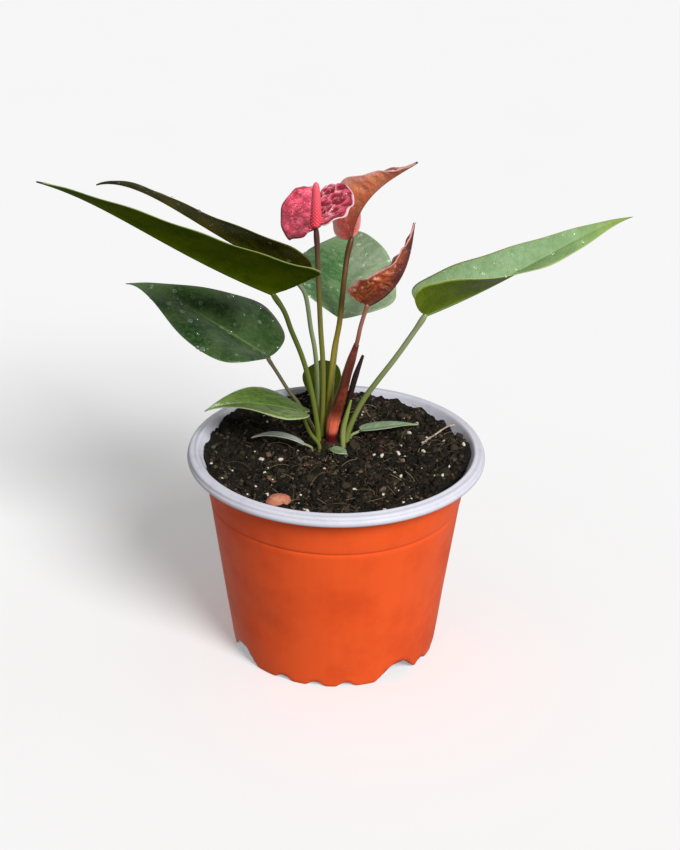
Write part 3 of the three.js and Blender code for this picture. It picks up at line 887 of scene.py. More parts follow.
def cast(name: str, finish: Finish, *parts: MeshPart) -> bpy.types.Object:
    """Makes a piece of one finish.

    Args:
        name: Name of the object.
        finish: Its finish.
        parts: The parts of its mesh.

    Returns:
        The object.
    """
    skin = Skin()
    for part in parts:
        skin.add(*part)
    return skin.piece(name, finish)


def settle(piece: bpy.types.Object, slot: str, *nodes: str) -> None:
    """Joins a finished piece to the frame.

    Args:
        piece: The piece.
        slot: Not used.
        nodes: The solids that it stands for.
    """
    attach(piece, "root")
    if nodes:
        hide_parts(*nodes)
    LOG.info("%s: %d faces", piece.name, len(piece.data.polygons))


def grid_faces(rows: int, columns: int, wrap: bool = False) -> list[tuple[int, int, int, int]]:
    """The quads of a grid whose points are listed row by row.

    Args:
        rows: Number of rows of points.
        columns: Number of points in a row.
        wrap: Whether each row closes on itself.

    Returns:
        Four point numbers for each quad.
    """
    faces = []
    for i in range(rows - 1):
        for j in range(columns if wrap else columns - 1):
            after = (j + 1) % columns
            faces.append((i * columns + j, i * columns + after, (i + 1) * columns + after, (i + 1) * columns + j))
    return faces


def smooth_route(points: list[Point], count: int) -> np.ndarray:
    """Evenly spaced points on the smooth curve through some points.

    Args:
        points: The points, in order.
        count: How many to return.

    Returns:
        One row for each point.
    """
    known = np.array(points, float)
    known = np.vstack([2 * known[0] - known[1], known, 2 * known[-1] - known[-2]])
    fine = []
    for p0, p1, p2, p3 in zip(known, known[1:], known[2:], known[3:]):
        d0, d1, d2 = (max(np.linalg.norm(b - a), 1e-6) ** 0.5 for a, b in ((p0, p1), (p1, p2), (p2, p3)))
        start = ((p1 - p0) / d0 - (p2 - p0) / (d0 + d1) + (p2 - p1) / d1) * d1
        end = ((p2 - p1) / d1 - (p3 - p1) / (d1 + d2) + (p3 - p2) / d2) * d1
        w = np.linspace(0, 1, 24, endpoint=False)[:, None]
        cubic = (2 * p1 - 2 * p2 + start + end) * w**3 + (3 * p2 - 3 * p1 - 2 * start - end) * w**2
        fine.append(cubic + start * w + p1)
    fine = np.vstack([*fine, known[-2]])
    travel = np.concatenate([[0], np.cumsum(np.linalg.norm(np.diff(fine, axis=0), axis=1))])
    even = np.linspace(0, travel[-1], count)
    return np.stack([np.interp(even, travel, fine[:, k]) for k in range(3)], axis=-1)


def limb(route: np.ndarray, radius: np.ndarray, sides: int = 20) -> MeshPart:
    """A round limb along a route, closed at both ends.

    Args:
        route: Points along its middle.
        radius: Its radius at each point, or at each point and side.
        sides: Points round it.

    Returns:
        Its points, its faces and its marks.
    """
    steps = len(route)
    ahead = np.gradient(route, axis=0)
    ahead /= np.linalg.norm(ahead, axis=1)[:, None]
    side = np.cross(ahead[0], (0.0, 1.0, 0.0))
    square = []
    for direction in ahead:
        side = side - direction * side.dot(direction)
        side = side / np.linalg.norm(side)
        square.append(side)
    across = np.array(square)[:, None, :]
    other = np.cross(ahead, np.array(square))[:, None, :]
    turn = np.linspace(0, 2 * np.pi, sides, endpoint=False)
    reach = np.broadcast_to(radius if radius.ndim == 2 else radius[:, None], (steps, sides))[..., None]
    ring = np.cos(turn)[None, :, None] * across + np.sin(turn)[None, :, None] * other
    points = (route[:, None, :] + reach * ring).reshape(-1, 3)
    points = np.vstack([points, route[0], route[-1]])
    first, last = steps * sides, steps * sides + 1
    faces = grid_faces(steps, sides, wrap=True)
    for k in range(sides):
        after = (k + 1) % sides
        faces += [(first, after, k), (last, (steps - 1) * sides + k, (steps - 1) * sides + after)]
    share = np.repeat(np.linspace(0, 1, steps), sides)
    long = np.linalg.norm(np.diff(route, axis=0), axis=1).sum()
    turned = np.tile(0.5 - 0.5 * np.cos(turn), steps)
    marks = np.vstack([np.stack([share, turned, share * long], -1), [0, 0, 0], [1, 0, long]])
    return points, faces, {"stem": marks}


def mound(x: np.ndarray, y: np.ndarray, middle: tuple[float, float], width: float) -> np.ndarray:
    """A round hump of height 1 about a middle, read at some places."""
    return np.exp(-(np.hypot(x - middle[0], y - middle[1]) / width) ** 2)


def soil_top(x: np.ndarray | float, y: np.ndarray | float) -> np.ndarray:
    """Height of the soil's surface at some places, as in the solids.

    Args:
        x: Millimetres to the right of the pot's axis.
        y: Millimetres behind it.

    Returns:
        Millimetres above the floor.
    """
    right, back = x / WALL_TOP, y / WALL_TOP
    wave = np.sin(0.31 * x + 1.1) * np.cos(0.27 * y) + 0.5 * np.sin(0.71 * x - 0.5 * y + 2)
    banked = np.hypot(right, back) ** 3 * (2.4 - 3.9 * right)
    heaped = 3.5 * mound(x, y, (58, 2), 12.7)
    return 88.5 + 3.3 * right + 2.8 * back + 0.7 * wave + banked + heaped


def roughen(points: np.ndarray, scale: float, octaves: int = 3, seed: float = 0.0) -> np.ndarray:
    """Noise at some points.

    Args:
        points: One row for each point.
        scale: Lumps in a millimetre.
        octaves: How many sizes of lump, each half the last.
        seed: Moves the noise.

    Returns:
        A number from about -1 to 1 for each point.
    """
    total = np.zeros(len(points))
    for k in range(octaves):
        step = scale * 2**k
        total += [noise.noise(Vector(point) * step + Vector((seed, k, 0))) / 2**k for point in points]
    return total


# ---- what repeats, by geometry nodes ----


class Grain(Enum):
    """The shapes that are scattered."""

    DROP = "drop"
    CRUMB = "crumb"
    STRAND = "strand"


@dataclass(frozen=True)
class Scatter:
    """Small shapes spread over a surface by a Geometry Nodes tree."""

    name: str
    grain: Grain
    finish: Finish
    density: float  # shapes in a square centimetre
    smallest: float  # mm across
    largest: float
    flat: float = 0.7  # height as a share of width
    sink: float = 0.0  # mm
    seed: int = 1
    splits: int = 1  # of the ball that each shape starts from


    def shape(self, grow: Wiring) -> Signal:
        """One shape, 1 mm in radius or 10 mm long.

        Args:
            grow: The tree's wiring.

        Returns:
            Its geometry.
        """
        if self.grain is Grain.STRAND:
            reach, radius = 0.005, 0.00009  # metres
            ends = {"Start": (-reach, 0, 0), "Middle": (0.001, 0.0035, 0.002), "End": (reach, 0, 0)}
            line = grow.result("GeometryNodeCurveQuadraticBezier", None, {"Resolution": 6, **ends})
            section = grow.result("GeometryNodeCurvePrimitiveCircle", None, {"Resolution": 4, "Radius": radius})
            sockets = {"Curve": line, "Profile Curve": section, "Fill Caps": True}
            return grow.result("GeometryNodeCurveToMesh", None, sockets)
        ball = {"Radius": MM, "Subdivisions": self.splits}
        body = grow.result("GeometryNodeMeshIcoSphere", None, ball, "Mesh")
        if self.grain is Grain.CRUMB:
            lumps = grow.result("ShaderNodeTexNoise", None, {"Scale": 1100.0, "Detail": 1.0}, 1)
            span = 0.0011  # metres, from the least to the most that noise moves a point
            shift = grow.result("ShaderNodeVectorMath", {"operation": "MULTIPLY_ADD"}, {
                0: lumps, 1: (span,) * 3, 2: (-span / 2,) * 3,
            })
            body = grow.result("GeometryNodeSetPosition", None, {"Geometry": body, "Offset": shift})
        return body

    def tree(self) -> bpy.types.NodeTree:
        """Builds the tree, with its sizes as named inputs.

        Returns:
            The tree.
        """
        tree = bpy.data.node_groups.new(self.name, "GeometryNodeTree")
        face = tree.interface
        face.new_socket("Geometry", in_out="INPUT", socket_type="NodeSocketGeometry")
        for label in ("Density", "Smallest", "Largest", "Flat", "Sink"):
            face.new_socket(label, in_out="INPUT", socket_type="NodeSocketFloat")
        face.new_socket("Seed", in_out="INPUT", socket_type="NodeSocketInt")
        face.new_socket("Geometry", in_out="OUTPUT", socket_type="NodeSocketGeometry")
        grow = Wiring(tree)
        given = {s.name: Signal(grow, s) for s in grow.node("NodeGroupInput").outputs if s.name}
        spread = grow.result("GeometryNodeInputNamedAttribute", {"data_type": "FLOAT"}, {"Name": "spread"})
        spots = grow.node("GeometryNodeDistributePointsOnFaces", None, {
            "Mesh": given["Geometry"], "Density": given["Density"] * spread, "Seed": given["Seed"],
        })
        share = grow.chance(given["Seed"]) ** 1.8  # most of them are small
        wide = given["Smallest"] + share * (given["Largest"] - given["Smallest"])
        broad = wide * grow.chance(SLIM_SEED, low=0.45) if self.grain is Grain.CRUMB else wide
        scale = grow.result("ShaderNodeCombineXYZ", None, {0: wide, 1: broad, 2: wide * given["Flat"]})
        spin = grow.result("FunctionNodeRandomValue", {"data_type": "FLOAT_VECTOR"}, {
            0: (-0.5, -0.5, 0.0), 1: (0.5, 0.5, 2 * math.pi), "Seed": SPIN_SEED,
        })
        turned = grow.result("FunctionNodeRotateRotation", {"rotation_space": "LOCAL"}, {
            0: Signal(grow, spots.outputs["Rotation"]), 1: spin,
        })
        shapes = grow.result("GeometryNodeInstanceOnPoints", None, {
            "Points": Signal(grow, spots.outputs["Points"]), "Instance": self.shape(grow),
            "Rotation": turned, "Scale": scale,
        })
        shapes = grow.result("GeometryNodeStoreNamedAttribute", {"data_type": "FLOAT", "domain": "INSTANCE"}, {
            "Geometry": shapes, "Name": "tone", "Value": grow.chance(TONE_SEED),
        })
        down = grow.result("ShaderNodeCombineXYZ", None, {2: given["Sink"] * -MM})
        shapes = grow.result("GeometryNodeTranslateInstances", None, {0: shapes, "Translation": down})
        shapes = grow.result("GeometryNodeRealizeInstances", None, {0: shapes})
        shapes = grow.result("GeometryNodeSetMaterial", None, {0: shapes, "Material": painted(self.finish)})
        grow.node("NodeGroupOutput", None, {0: shapes})
        return tree

    def over(self, surface: bpy.types.Object, spread: np.ndarray, slot: str) -> None:
        """Grows the shapes over a surface and settles them as one piece.

        Args:
            surface: The piece that they lie on.
            spread: How thickly they lie at each of its points, as a share of the density.
            slot: Handed on to settle, which does not use it.
        """
        mesh = surface.data.copy()
        layer = mesh.attributes.new("spread", "FLOAT", "POINT")
        layer.data.foreach_set("value", spread.astype(np.float32))
        bed = put(f"{self.name}_bed", mesh)
        modifier = bed.modifiers.new("scatter", "NODES")
        modifier.node_group = self.tree()
        values = {
            "Density": self.density * 1e4,  # in a square metre
            "Smallest": self.smallest / 2, "Largest": self.largest / 2,
            "Flat": self.flat, "Sink": self.sink, "Seed": self.seed,
        }
        for item in modifier.node_group.interface.items_tree:
            if item.in_out == "INPUT" and item.name in values:
                modifier[item.identifier] = values[item.name]
        ready = bed.evaluated_get(bpy.context.evaluated_depsgraph_get())
        grown = bpy.data.meshes.new_from_object(ready)
        bpy.data.objects.remove(bed)
        grown.name = self.name
        grown.shade_smooth()
        piece = put(self.name, grown)
        piece.visible_shadow = self.grain is not Grain.DROP  # light goes through water
        settle(piece, slot)


def drops(name: str, density: float, smallest: float, largest: float, seed: int) -> Scatter:
    """Drops of water on a leaf."""
    return Scatter(f"{name}_drops", Grain.DROP, WATER, density, smallest, largest, flat=0.55, seed=seed, splits=2)


# ---- the plant ----


@dataclass(frozen=True)
class Leaf:
    """A heart-shaped blade, folded along a bent midrib, on its petiole. Sizes in mm and degrees, as in the solids."""

    name: str
    at: Point  # where the blade meets its petiole
    length: float
    half_width: float
    lobe: float | tuple[float, float]  # reach of both lobes behind the petiole, or of the left one and the right one
    widest: float  # share of the length
    fullness: float  # how far on from there the blade stays wide
    lobe_width: float | tuple[float, float]  # share of the half width, as the next
    tip_width: float
    curl: float  # how far each half bows, as a share of the half width
    heading: float  # where the midrib points, seen from above
    swing: float  # how far it turns on its way
    climb: float  # how far it rises at the petiole
    droop: float  # how far it falls on its way
    hook: float  # how far it falls near the tip
    roll: float  # how far the blade leans to one side
    twist: float  # how much that changes on its way
    fold: tuple[float, float]  # how far each half is lifted, at the petiole and at the tip
    stem: tuple[Point, ...]
    stem_radius: float
    finish: Finish
    stem_finish: Finish
    slot: str
    stem_slot: str
    rooted: bool = True  # whether the stem goes down into the soil
    pucker: float = 0.0  # height of its regular blisters
    veins: int = 11
    quilt: float = 0.12  # how far the blade swells between two veins
    cells: tuple[float, float] = (0.0, 0.0)  # height of each half's blisters, or of its ridges where it is negative
    wave: float = 0.22  # of the margin
    wave_length: float = 27.0
    thickness: float = 0.55
    rib: float = 0.8  # depth of the midrib under the blade
    rows: tuple[int, int, int] = (9, 16, 46)  # round the sinus, round the lobe and on to the tip
    columns: int = 16
    drops: tuple[Scatter, ...] = ()
    wet_face: float = 1.0  # 1 for the upper face, 0 for the lower

    def outline(self, hand: int) -> np.ndarray:
        """Half of the flat outline, from the petiole round the lobe to the tip.

        Args:
            hand: 1 for the left half, -1 for the right.

        Returns:
            Its points, along the midrib and away from it.
        """
        w = self.half_width
        lobe, lobe_width = (np.atleast_1d(size)[0 if hand > 0 else -1] for size in (self.lobe, self.lobe_width))
        wide = self.widest * self.length
        front = self.length - wide
        turns = [
            [(0, 0), (-0.35 * lobe, 0.04 * w), (-lobe, 0.18 * w), (-lobe, lobe_width * w)],
            [
                (-lobe, lobe_width * w), (-lobe, (lobe_width + 0.38) * w),
                (wide - 0.45 * (wide + lobe), w), (wide, w),
            ],
            [
                (wide, w), (wide + self.fullness * front, w),
                (self.length - 0.36 * front, self.tip_width * w), (self.length, 0),
            ],
        ]
        points = []
        for bend, count in zip(turns, self.rows):
            a, b, c, d = (np.array(corner, float) for corner in bend)
            t = np.linspace(0, 1, count + 1)[1:, None]
            points.append(a * (1 - t) ** 3 + 3 * b * t * (1 - t) ** 2 + 3 * c * t**2 * (1 - t) + d * t**3)
        return np.vstack(points)

    def ahead(self, t: np.ndarray) -> np.ndarray:
        """Where the midrib points.

        Args:
            t: Shares of its length.

        Returns:
            A direction for each.
        """
        turn = np.radians(self.heading + self.swing * t)
        rise = np.radians(self.climb - self.droop * t - self.hook * t**4)
        return np.stack([np.cos(turn) * np.cos(rise), np.sin(turn) * np.cos(rise), np.sin(rise)], axis=-1)

    def spine(self, x: np.ndarray) -> tuple[np.ndarray, np.ndarray, np.ndarray, np.ndarray]:
        """The bent midrib.

        Args:
            x: Millimetres along it, negative behind the petiole.

        Returns:
            The place, the directions to the left and up, and the angle that each half is lifted by.
        """
        steps = 256
        shares = (np.arange(steps) + 0.5) / steps
        run = np.cumsum(self.ahead(shares) * self.length / steps, axis=0)
        stations = np.vstack([self.at, np.array(self.at) + run])
        t = np.clip(x / self.length, 0, 1)
        tangent = self.ahead(t)
        place = np.stack([np.interp(t * steps, np.arange(steps + 1), stations[:, k]) for k in range(3)], axis=-1)
        place = place + tangent * np.minimum(x, 0)[..., None]
        turn = np.radians(self.heading + self.swing * t)
        level = np.stack([-np.sin(turn), np.cos(turn), np.zeros_like(turn)], axis=-1)
        bank = np.radians(self.roll + self.twist * t)[..., None]
        side = level * np.cos(bank) + np.cross(tangent, level) * np.sin(bank)
        lift = np.radians(self.fold[0] + (self.fold[1] - self.fold[0]) * t)
        return place, side, np.cross(tangent, side), lift

    def crests(self, x: np.ndarray, y: np.ndarray, share: np.ndarray, hand: int) -> np.ndarray:
        """How far up a blister, or up the ridge between two, each point of one half is.

        Args:
            x: Millimetres along the midrib.
            y: Millimetres away from it.
            share: The same as a share of the half's width there.
            hand: 1 for the left half, -1 for the right.

        Returns:
            A number from 0 to 1 for each point.
        """
        far = np.hypot(x + 2, y)
        spread = np.stack([far * 0.26, np.arctan2(y, x + 2) * 3.4, np.full_like(x, 3.0 * hand)], axis=-1)
        reach = [noise.voronoi(Vector(spot))[0] for spot in spread.reshape(-1, 3)]
        edge = np.array([second - first for first, second, *_ in reach]).reshape(x.shape)
        crest = np.clip(edge * 1.6, 0, 1) ** 0.7
        if self.cells[0 if hand > 0 else 1] < 0:
            crest = (1 - crest) ** 1.5
        return crest * np.minimum(1, y / 1.5) * (1 - share**8)

    def half(self, hand: int) -> MeshPart:
        """One half of the blade, with its veins, quilting and waved margin.

        Args:
            hand: 1 for the left half, -1 for the right.

        Returns:
            Its points, its faces and its marks.
        """
        outline = self.outline(hand)
        share = np.linspace(0, 1, self.columns + 1) ** 1.35  # closer together at the midrib
        foot = np.maximum(self.outline(1)[:, :1], 0)  # both halves' rows start together
        x = foot + (outline[:, :1] - foot) * share
        y = outline[:, 1:] * share
        s = np.broadcast_to(share, y.shape)
        place, side, up, lift = self.spine(x)
        w = self.half_width
        count = (x - 0.75 * y - 0.25 * y**2 / w) / self.length * self.veins  # a vein at each whole number
        blister = self.pucker * np.sin(0.75 * (x - 0.5 * y)) * np.sin(0.8 * y)
        swell = self.quilt * np.abs(np.sin(np.pi * count)) ** 0.8 * np.sin(np.pi * s) ** 0.6
        ripple = self.wave * s**3 * np.sin(2 * np.pi * x / self.wave_length + 2.1 * hand)
        height = self.cells[0 if hand > 0 else 1]
        crest = self.crests(x, y, s, hand) if height else np.zeros_like(x)
        swell = swell + abs(height) * crest
        sag = self.curl * w * (y / w) ** 2 - blister
        out = y * np.cos(lift) + sag * np.sin(lift)
        rise = y * np.sin(lift) - sag * np.cos(lift) + (swell + ripple * np.minimum(1, y / 3)) / np.cos(lift)
        keel = np.exp(-((y / 0.9) ** 2)) * np.clip(1 - x / self.length, 0, 1) ** 0.6
        half_thick = self.thickness / 2 * (1 - 0.55 * s**6) / np.cos(lift)
        upper = rise + half_thick - 0.25 * self.rib * keel
        lower = rise - half_thick - self.rib * keel
        rows, columns = x.shape
        points = [
            (place + hand * out[..., None] * side + level[..., None] * up).reshape(-1, 3) for level in (upper, lower)
        ]
        total = rows * columns
        faces = grid_faces(rows, columns)
        faces += [tuple(total + corner for corner in face[::-1]) for face in faces]
        margin = [i * columns + columns - 1 for i in range(rows)]
        for a, b in [*zip(margin, margin[1:]), *zip(range(columns - 1), range(1, columns))]:
            faces.append((a, b, b + total, a + total))
        leaf = np.stack([np.clip(x / self.length, 0, 1), hand * s, count], axis=-1).reshape(-1, 3)
        face = np.zeros((2 * total, 3))
        face[:total, 0] = 1
        face[:, 1] = np.tile(crest.ravel(), 2)
        return np.vstack(points), faces, {"leaf": np.vstack([leaf, leaf]), "face": face}

    def blade(self) -> None:
        """Makes the blade and its drops of water."""
        piece = cast(f"{self.name}_leaf", self.finish, self.half(1), self.half(-1))
        settle(piece, self.slot, f"{self.name}_blade")
        if self.drops:
            flat = np.zeros(len(piece.data.vertices) * 3, np.float32)
            piece.data.attributes["face"].data.foreach_get("vector", flat)
            face = flat.reshape(-1, 3)[:, 0]
            for layer in self.drops:
                layer.over(piece, np.abs(face - (1 - self.wet_face)), self.slot)

    def petiole(self) -> bpy.types.Object:
        """Makes the stem, thicker at its foot and at the joint under the blade.

        Returns:
            The stem.
        """
        x, y, _ = self.stem[0]
        points = [(x, y, ROOT_Z)] * self.rooted + [*self.stem, self.at]
        route = smooth_route(points, 22 + 10 * len(points))
        t = np.linspace(0, 1, len(route))
        foot = 0.3 * np.exp(-((t / 0.1) ** 2)) * self.rooted
        joint = 0.16 * np.exp(-(((t - 0.95) / 0.035) ** 2))
        end = 1 - 0.35 * np.clip((t - 0.975) / 0.025, 0, 1) ** 2
        radius = self.stem_radius * (0.97 + foot + joint - 0.08 * t) * end
        return cast(f"{self.name}_stalk", self.stem_finish, limb(route, radius))

    def build(self) -> None:
        """Makes the leaf."""
        self.blade()
        settle(self.petiole(), self.stem_slot, f"{self.name}_petiole")


@dataclass(frozen=True)
class Flower:
    """The spathe and its peduncle, shaped as a leaf is, and the spadix in front of it."""

    spathe: Leaf
    base: Point = (-9.6, 4.4, 195.5)
    top: Point = (-9.6, 2.6, 215.5)
    base_radius: float = 2.5
    tip_radius: float = 1.45
    florets: int = 9  # in a ring
    rows: int = 26
    steps: int = 150
    sides: int = 108

    def spadix(self) -> bpy.types.Object:
        """Makes the spike with its florets raised in staggered rings.

        Returns:
            The spadix.
        """
        t = np.linspace(0, 1, self.steps)
        turn = np.linspace(0, 2 * np.pi, self.sides, endpoint=False)
        ends = np.minimum(1, 0.72 + 5 * t) * np.sqrt(np.clip(1 - t**14, 0, 1))
        radius = (self.base_radius + (self.tip_radius - self.base_radius) * t) * ends
        lattice = np.cos(self.florets * turn)[None, :] * np.cos(self.rows * np.pi * t)[:, None]
        rise = np.clip(0.5 + 0.5 * lattice, 0, 1) ** 1.4
        fade = np.clip((1 - t) / 0.05, 0, 1)[:, None]
        reach = radius[:, None] * (1 + 0.15 * (rise - 0.45) * fade)
        route = np.array(self.base) + t[:, None] * (np.array(self.top) - np.array(self.base))
        points, faces, _ = limb(route, reach, self.sides)
        marks = np.stack([np.repeat(t, self.sides), rise.ravel(), np.zeros(rise.size)], axis=-1)
        return cast("spadix", SPADIX, (points, faces, {"floret": np.vstack([marks, [0, 0.5, 0], [1, 0.5, 0]])}))

    def build(self) -> None:
        """Makes the flower."""
        spathe = cast("spathe", SPATHE, self.spathe.half(1), self.spathe.half(-1))
        settle(spathe, "spathe", "flower_spathe")
        for layer in self.spathe.drops:
            layer.over(spathe, np.ones(len(spathe.data.vertices)), "spathe")
        settle(self.spathe.petiole(), "stem_brown", "flower_peduncle")
        settle(self.spadix(), "spadix", "flower_spadix")


@dataclass(frozen=True)
class Sheath:
    """A leaf sheath wrapped round a stem: ribbed, with one edge lapped over the other."""

    name: str
    route: tuple[Point, ...]
    radii: tuple[float, ...]
    finish: Finish
    slot: str
    lap: float = 0.14  # share of the radius
    ribs: int = 11
    rib_height: float = 0.018  # share of the radius
    steps: int = 90
    sides: int = 66

    def build(self) -> None:
        """Makes the sheath."""
        route = smooth_route(list(self.route), self.steps)
        t = np.linspace(0, 1, self.steps)
        known = np.linspace(0, 1, len(self.radii))
        turn = np.linspace(0, 1, self.sides, endpoint=False)
        wrap = (turn[None, :] + 0.35 * t[:, None] + 0.15) % 1
        ribs = self.rib_height * np.cos(2 * np.pi * self.ribs * turn)[None, :]
        shape = 1 - self.lap / 2 + self.lap * wrap**2 + ribs
        body = limb(route, np.interp(t, known, self.radii)[:, None] * shape, self.sides)
        settle(cast(f"{self.name}_wrap", self.finish, body), self.slot, self.name)


# ---- pot and soil ----


@dataclass(frozen=True)
class Dent:
    """A shallow dent in the pot's wall, or a bulge where its depth is negative. Sizes in mm and degrees."""

    side: float  # from the front, positive to the right
    height: float
    wide: float  # degrees
    tall: float
    deep: float


@dataclass(frozen=True)
class Pot:
    """The thin pot, orange outside and white inside, with a rolled rim and a notched foot."""

    rim_radius: float = 65.0
    height: float = 95.2
    lip_height: float = 5.0
    wall_top: float = WALL_TOP
    foot_radius: float = 45.4
    wall: float = 1.2
    floor_height: float = 7.6
    foot_width: float = 2.4
    groove_height: float = 72.2
    sides: int = 360
    deep: tuple[float, ...] = (-62, 38, 118, 218)  # middles of the notches, in degrees
    deep_size: tuple[float, float] = (23.0, 7.0)  # width and height
    shallow: tuple[float, ...] = (-29, -10, 7, 58, 78, 98, 151, 170, 187, 238, 258, 278)
    shallow_size: tuple[float, float] = (9.0, 2.0)
    holes: int = 4
    hole_radius: float = 4.0
    hole_reach: float = 28.0  # of a hole's middle from the axis
    dents: tuple[Dent, ...] = (Dent(-38, 27, 16, 12, 0.7), Dent(50, 38, 14, 16, 0.6), Dent(8, 60, 26, 9, -0.2))

    def wall_radius(self, z: float | np.ndarray) -> float | np.ndarray:
        """Outside radius of the wall at a height."""
        return self.foot_radius + (self.wall_top - self.foot_radius) * z / (self.height - self.lip_height)

    def foot_edge(self, angle: np.ndarray) -> np.ndarray:
        """Height of the foot's lower edge.

        Args:
            angle: Degrees from the front, positive to the right.

        Returns:
            Millimetres above the floor, for each angle.
        """
        edge = np.zeros_like(angle)
        t = np.linspace(0, 1, 24)
        for middles, (width, height) in ((self.deep, self.deep_size), (self.shallow, self.shallow_size)):
            across = -width / 2 * (1 - t) ** 3 - width * t * (1 - t) ** 2 - width / 4 * 3 * t**2 * (1 - t)
            rise = 0.9 * height * t * (1 - t) ** 2 + 3 * height * t**2 * (1 - t) + height * t**3
            for middle in middles:
                off = (angle - middle + 180) % 360 - 180
                reach = -np.abs(np.radians(off)) * self.foot_radius
                edge = np.maximum(edge, np.interp(reach, across, rise, left=0.0))
        return edge

    def outside(self) -> list[tuple[float, float]]:
        """Profile of the outer wall, from the foot up to the rim.

        Returns:
            Radius and height of each ring.
        """
        groove = self.groove_height
        under = self.height - self.lip_height
        heights = [2.0, 4.0, 7.3, 10.0, *np.linspace(14, groove - 2.5, 18), groove - 1.2]
        wall = [(self.wall_radius(z), z) for z in heights]
        steps = ((-0.5, -0.3), (0.0, -0.5), (0.5, 0.1))
        line = [(self.wall_radius(groove + rise) + out, groove + rise) for rise, out in steps]
        above = [(self.wall_radius(z) + 0.15, z) for z in np.linspace(groove + 1.2, under - 1.2, 7)]
        return [*wall, *line, *above]

    def lip(self) -> list[tuple[float, float]]:
        """Profile of the rolled rim and of the inside, down to the floor.

        Returns:
            Radius and height of each ring.
        """
        rim, top = self.rim_radius, self.height
        under = top - self.lip_height
        turn = [
            (self.wall_top + 0.3, under - 0.4), (self.wall_top + 0.9, under + 0.2), (rim - 4.6, under + 0.5),
            (rim - 2.6, under + 0.3), (rim - 1.5, under + 0.05), (rim - 0.7, under + 0.2),
            (rim - 0.15, under + 0.9), (rim, under + 1.7), (rim - 0.12, under + 2.4), (rim - 0.5, under + 2.8),
            (rim - 0.65, under + 3.2), (rim - 0.6, under + 3.6), (rim - 0.9, under + 4.15),
            (rim - 1.5, top - 0.5), (rim - 2.2, top - 0.45), (rim - 2.8, top - 0.5), (rim - 3.3, top - 0.3),
            (rim - 3.8, top - 0.03), (rim - 4.3, top), (rim - 4.8, top - 0.35), (rim - 5.2, top - 1.1),
            (rim - 5.8, top - 2.2), (rim - 6.6, top - 3.8), (rim - 7.6, top - 5.4),
        ]
        inside = [(self.wall_radius(z) - self.wall, z) for z in np.linspace(under - 2, 14, 14)]
        return [*turn, *inside]

    def bowl(self) -> list[tuple[float, float]]:
        """Profile of the raised floor, across its top and back under it.

        Returns:
            Radius and height of each ring.
        """
        floor, ring = self.floor_height, self.foot_radius - self.foot_width
        corner = [(self.wall_radius(floor) - 1.4, floor + 3.4), (self.wall_radius(floor) - 3.2, floor + 1.3)]
        above = [(r, floor + self.wall) for r in (40.0, 36.0, 28.0, 18.0, 8.0, 0.0)]
        below = [(r, floor) for r in (0.0, 8.0, 18.0, 28.0, 36.0, ring - 1.0)]
        return [*corner, *above, *below, (ring, floor - 0.6)]

    def ring(self, radius: float, height: float | np.ndarray) -> tuple[np.ndarray, np.ndarray]:
        """A radius and a height for each side."""
        return np.full(self.sides, radius), np.broadcast_to(height, self.sides)

    def build(self) -> None:
        """Makes the pot, with its drain holes cut."""
        angle = np.linspace(0, 360, self.sides, endpoint=False)
        edge = self.foot_edge(angle)
        floor, inner = self.floor_height, self.foot_radius - self.foot_width
        rows = [self.ring(self.foot_radius - 0.25, edge), self.ring(self.foot_radius, edge + 0.3)]
        for r, z in self.outside():
            low = np.maximum(edge + 0.35, 0) if z <= 8 else np.zeros(self.sides)
            rows.append(self.ring(r, np.maximum(z, low + z * 0.01)))
        outer_faces = (len(rows) - 1) * self.sides
        rows += [self.ring(r, z) for r, z in (*self.lip(), *self.bowl())]
        rows += [self.ring(inner, np.minimum(edge + 0.3, floor - 0.7))]
        rows += [self.ring(inner + 0.25, np.minimum(edge, floor - 0.8)), rows[0]]
        swing = np.radians(angle)
        points = np.vstack([np.stack([r * np.sin(swing), -r * np.cos(swing), z], axis=-1) for r, z in rows])
        flat = np.linalg.norm(points[:, :2], axis=1)
        points[:, :2] += points[:, :2] / np.maximum(flat, 1)[:, None] * self.push(points)[:, None]
        skin = Skin()
        skin.add(points, grid_faces(len(rows), self.sides, wrap=True), {})
        skin.paints[outer_faces:] = [1] * (len(skin.faces) - outer_faces)
        pot = skin.piece("nursery_pot", ORANGE, WHITE)
        self.drill(pot)
        settle(pot, "pot_plastic", "pot")

    def push(self, points: np.ndarray) -> np.ndarray:
        """How far the thin wall is pushed out, for its dents and its slight unroundness.

        Args:
            points: One row for each point.

        Returns:
            Millimetres for each point.
        """
        turn = np.degrees(np.arctan2(points[:, 0], -points[:, 1]))
        z = points[:, 2]
        free = np.clip((z - 12) / 15, 0, 1) * np.clip((86 - z) / 12, 0, 1)
        push = 0.25 * np.sin(np.radians(3 * turn + 40)) * free
        for dent in self.dents:
            depth = np.exp(-(((turn - dent.side) / dent.wide) ** 2) - ((z - dent.height) / dent.tall) ** 2)
            push -= dent.deep * depth * free
        return push

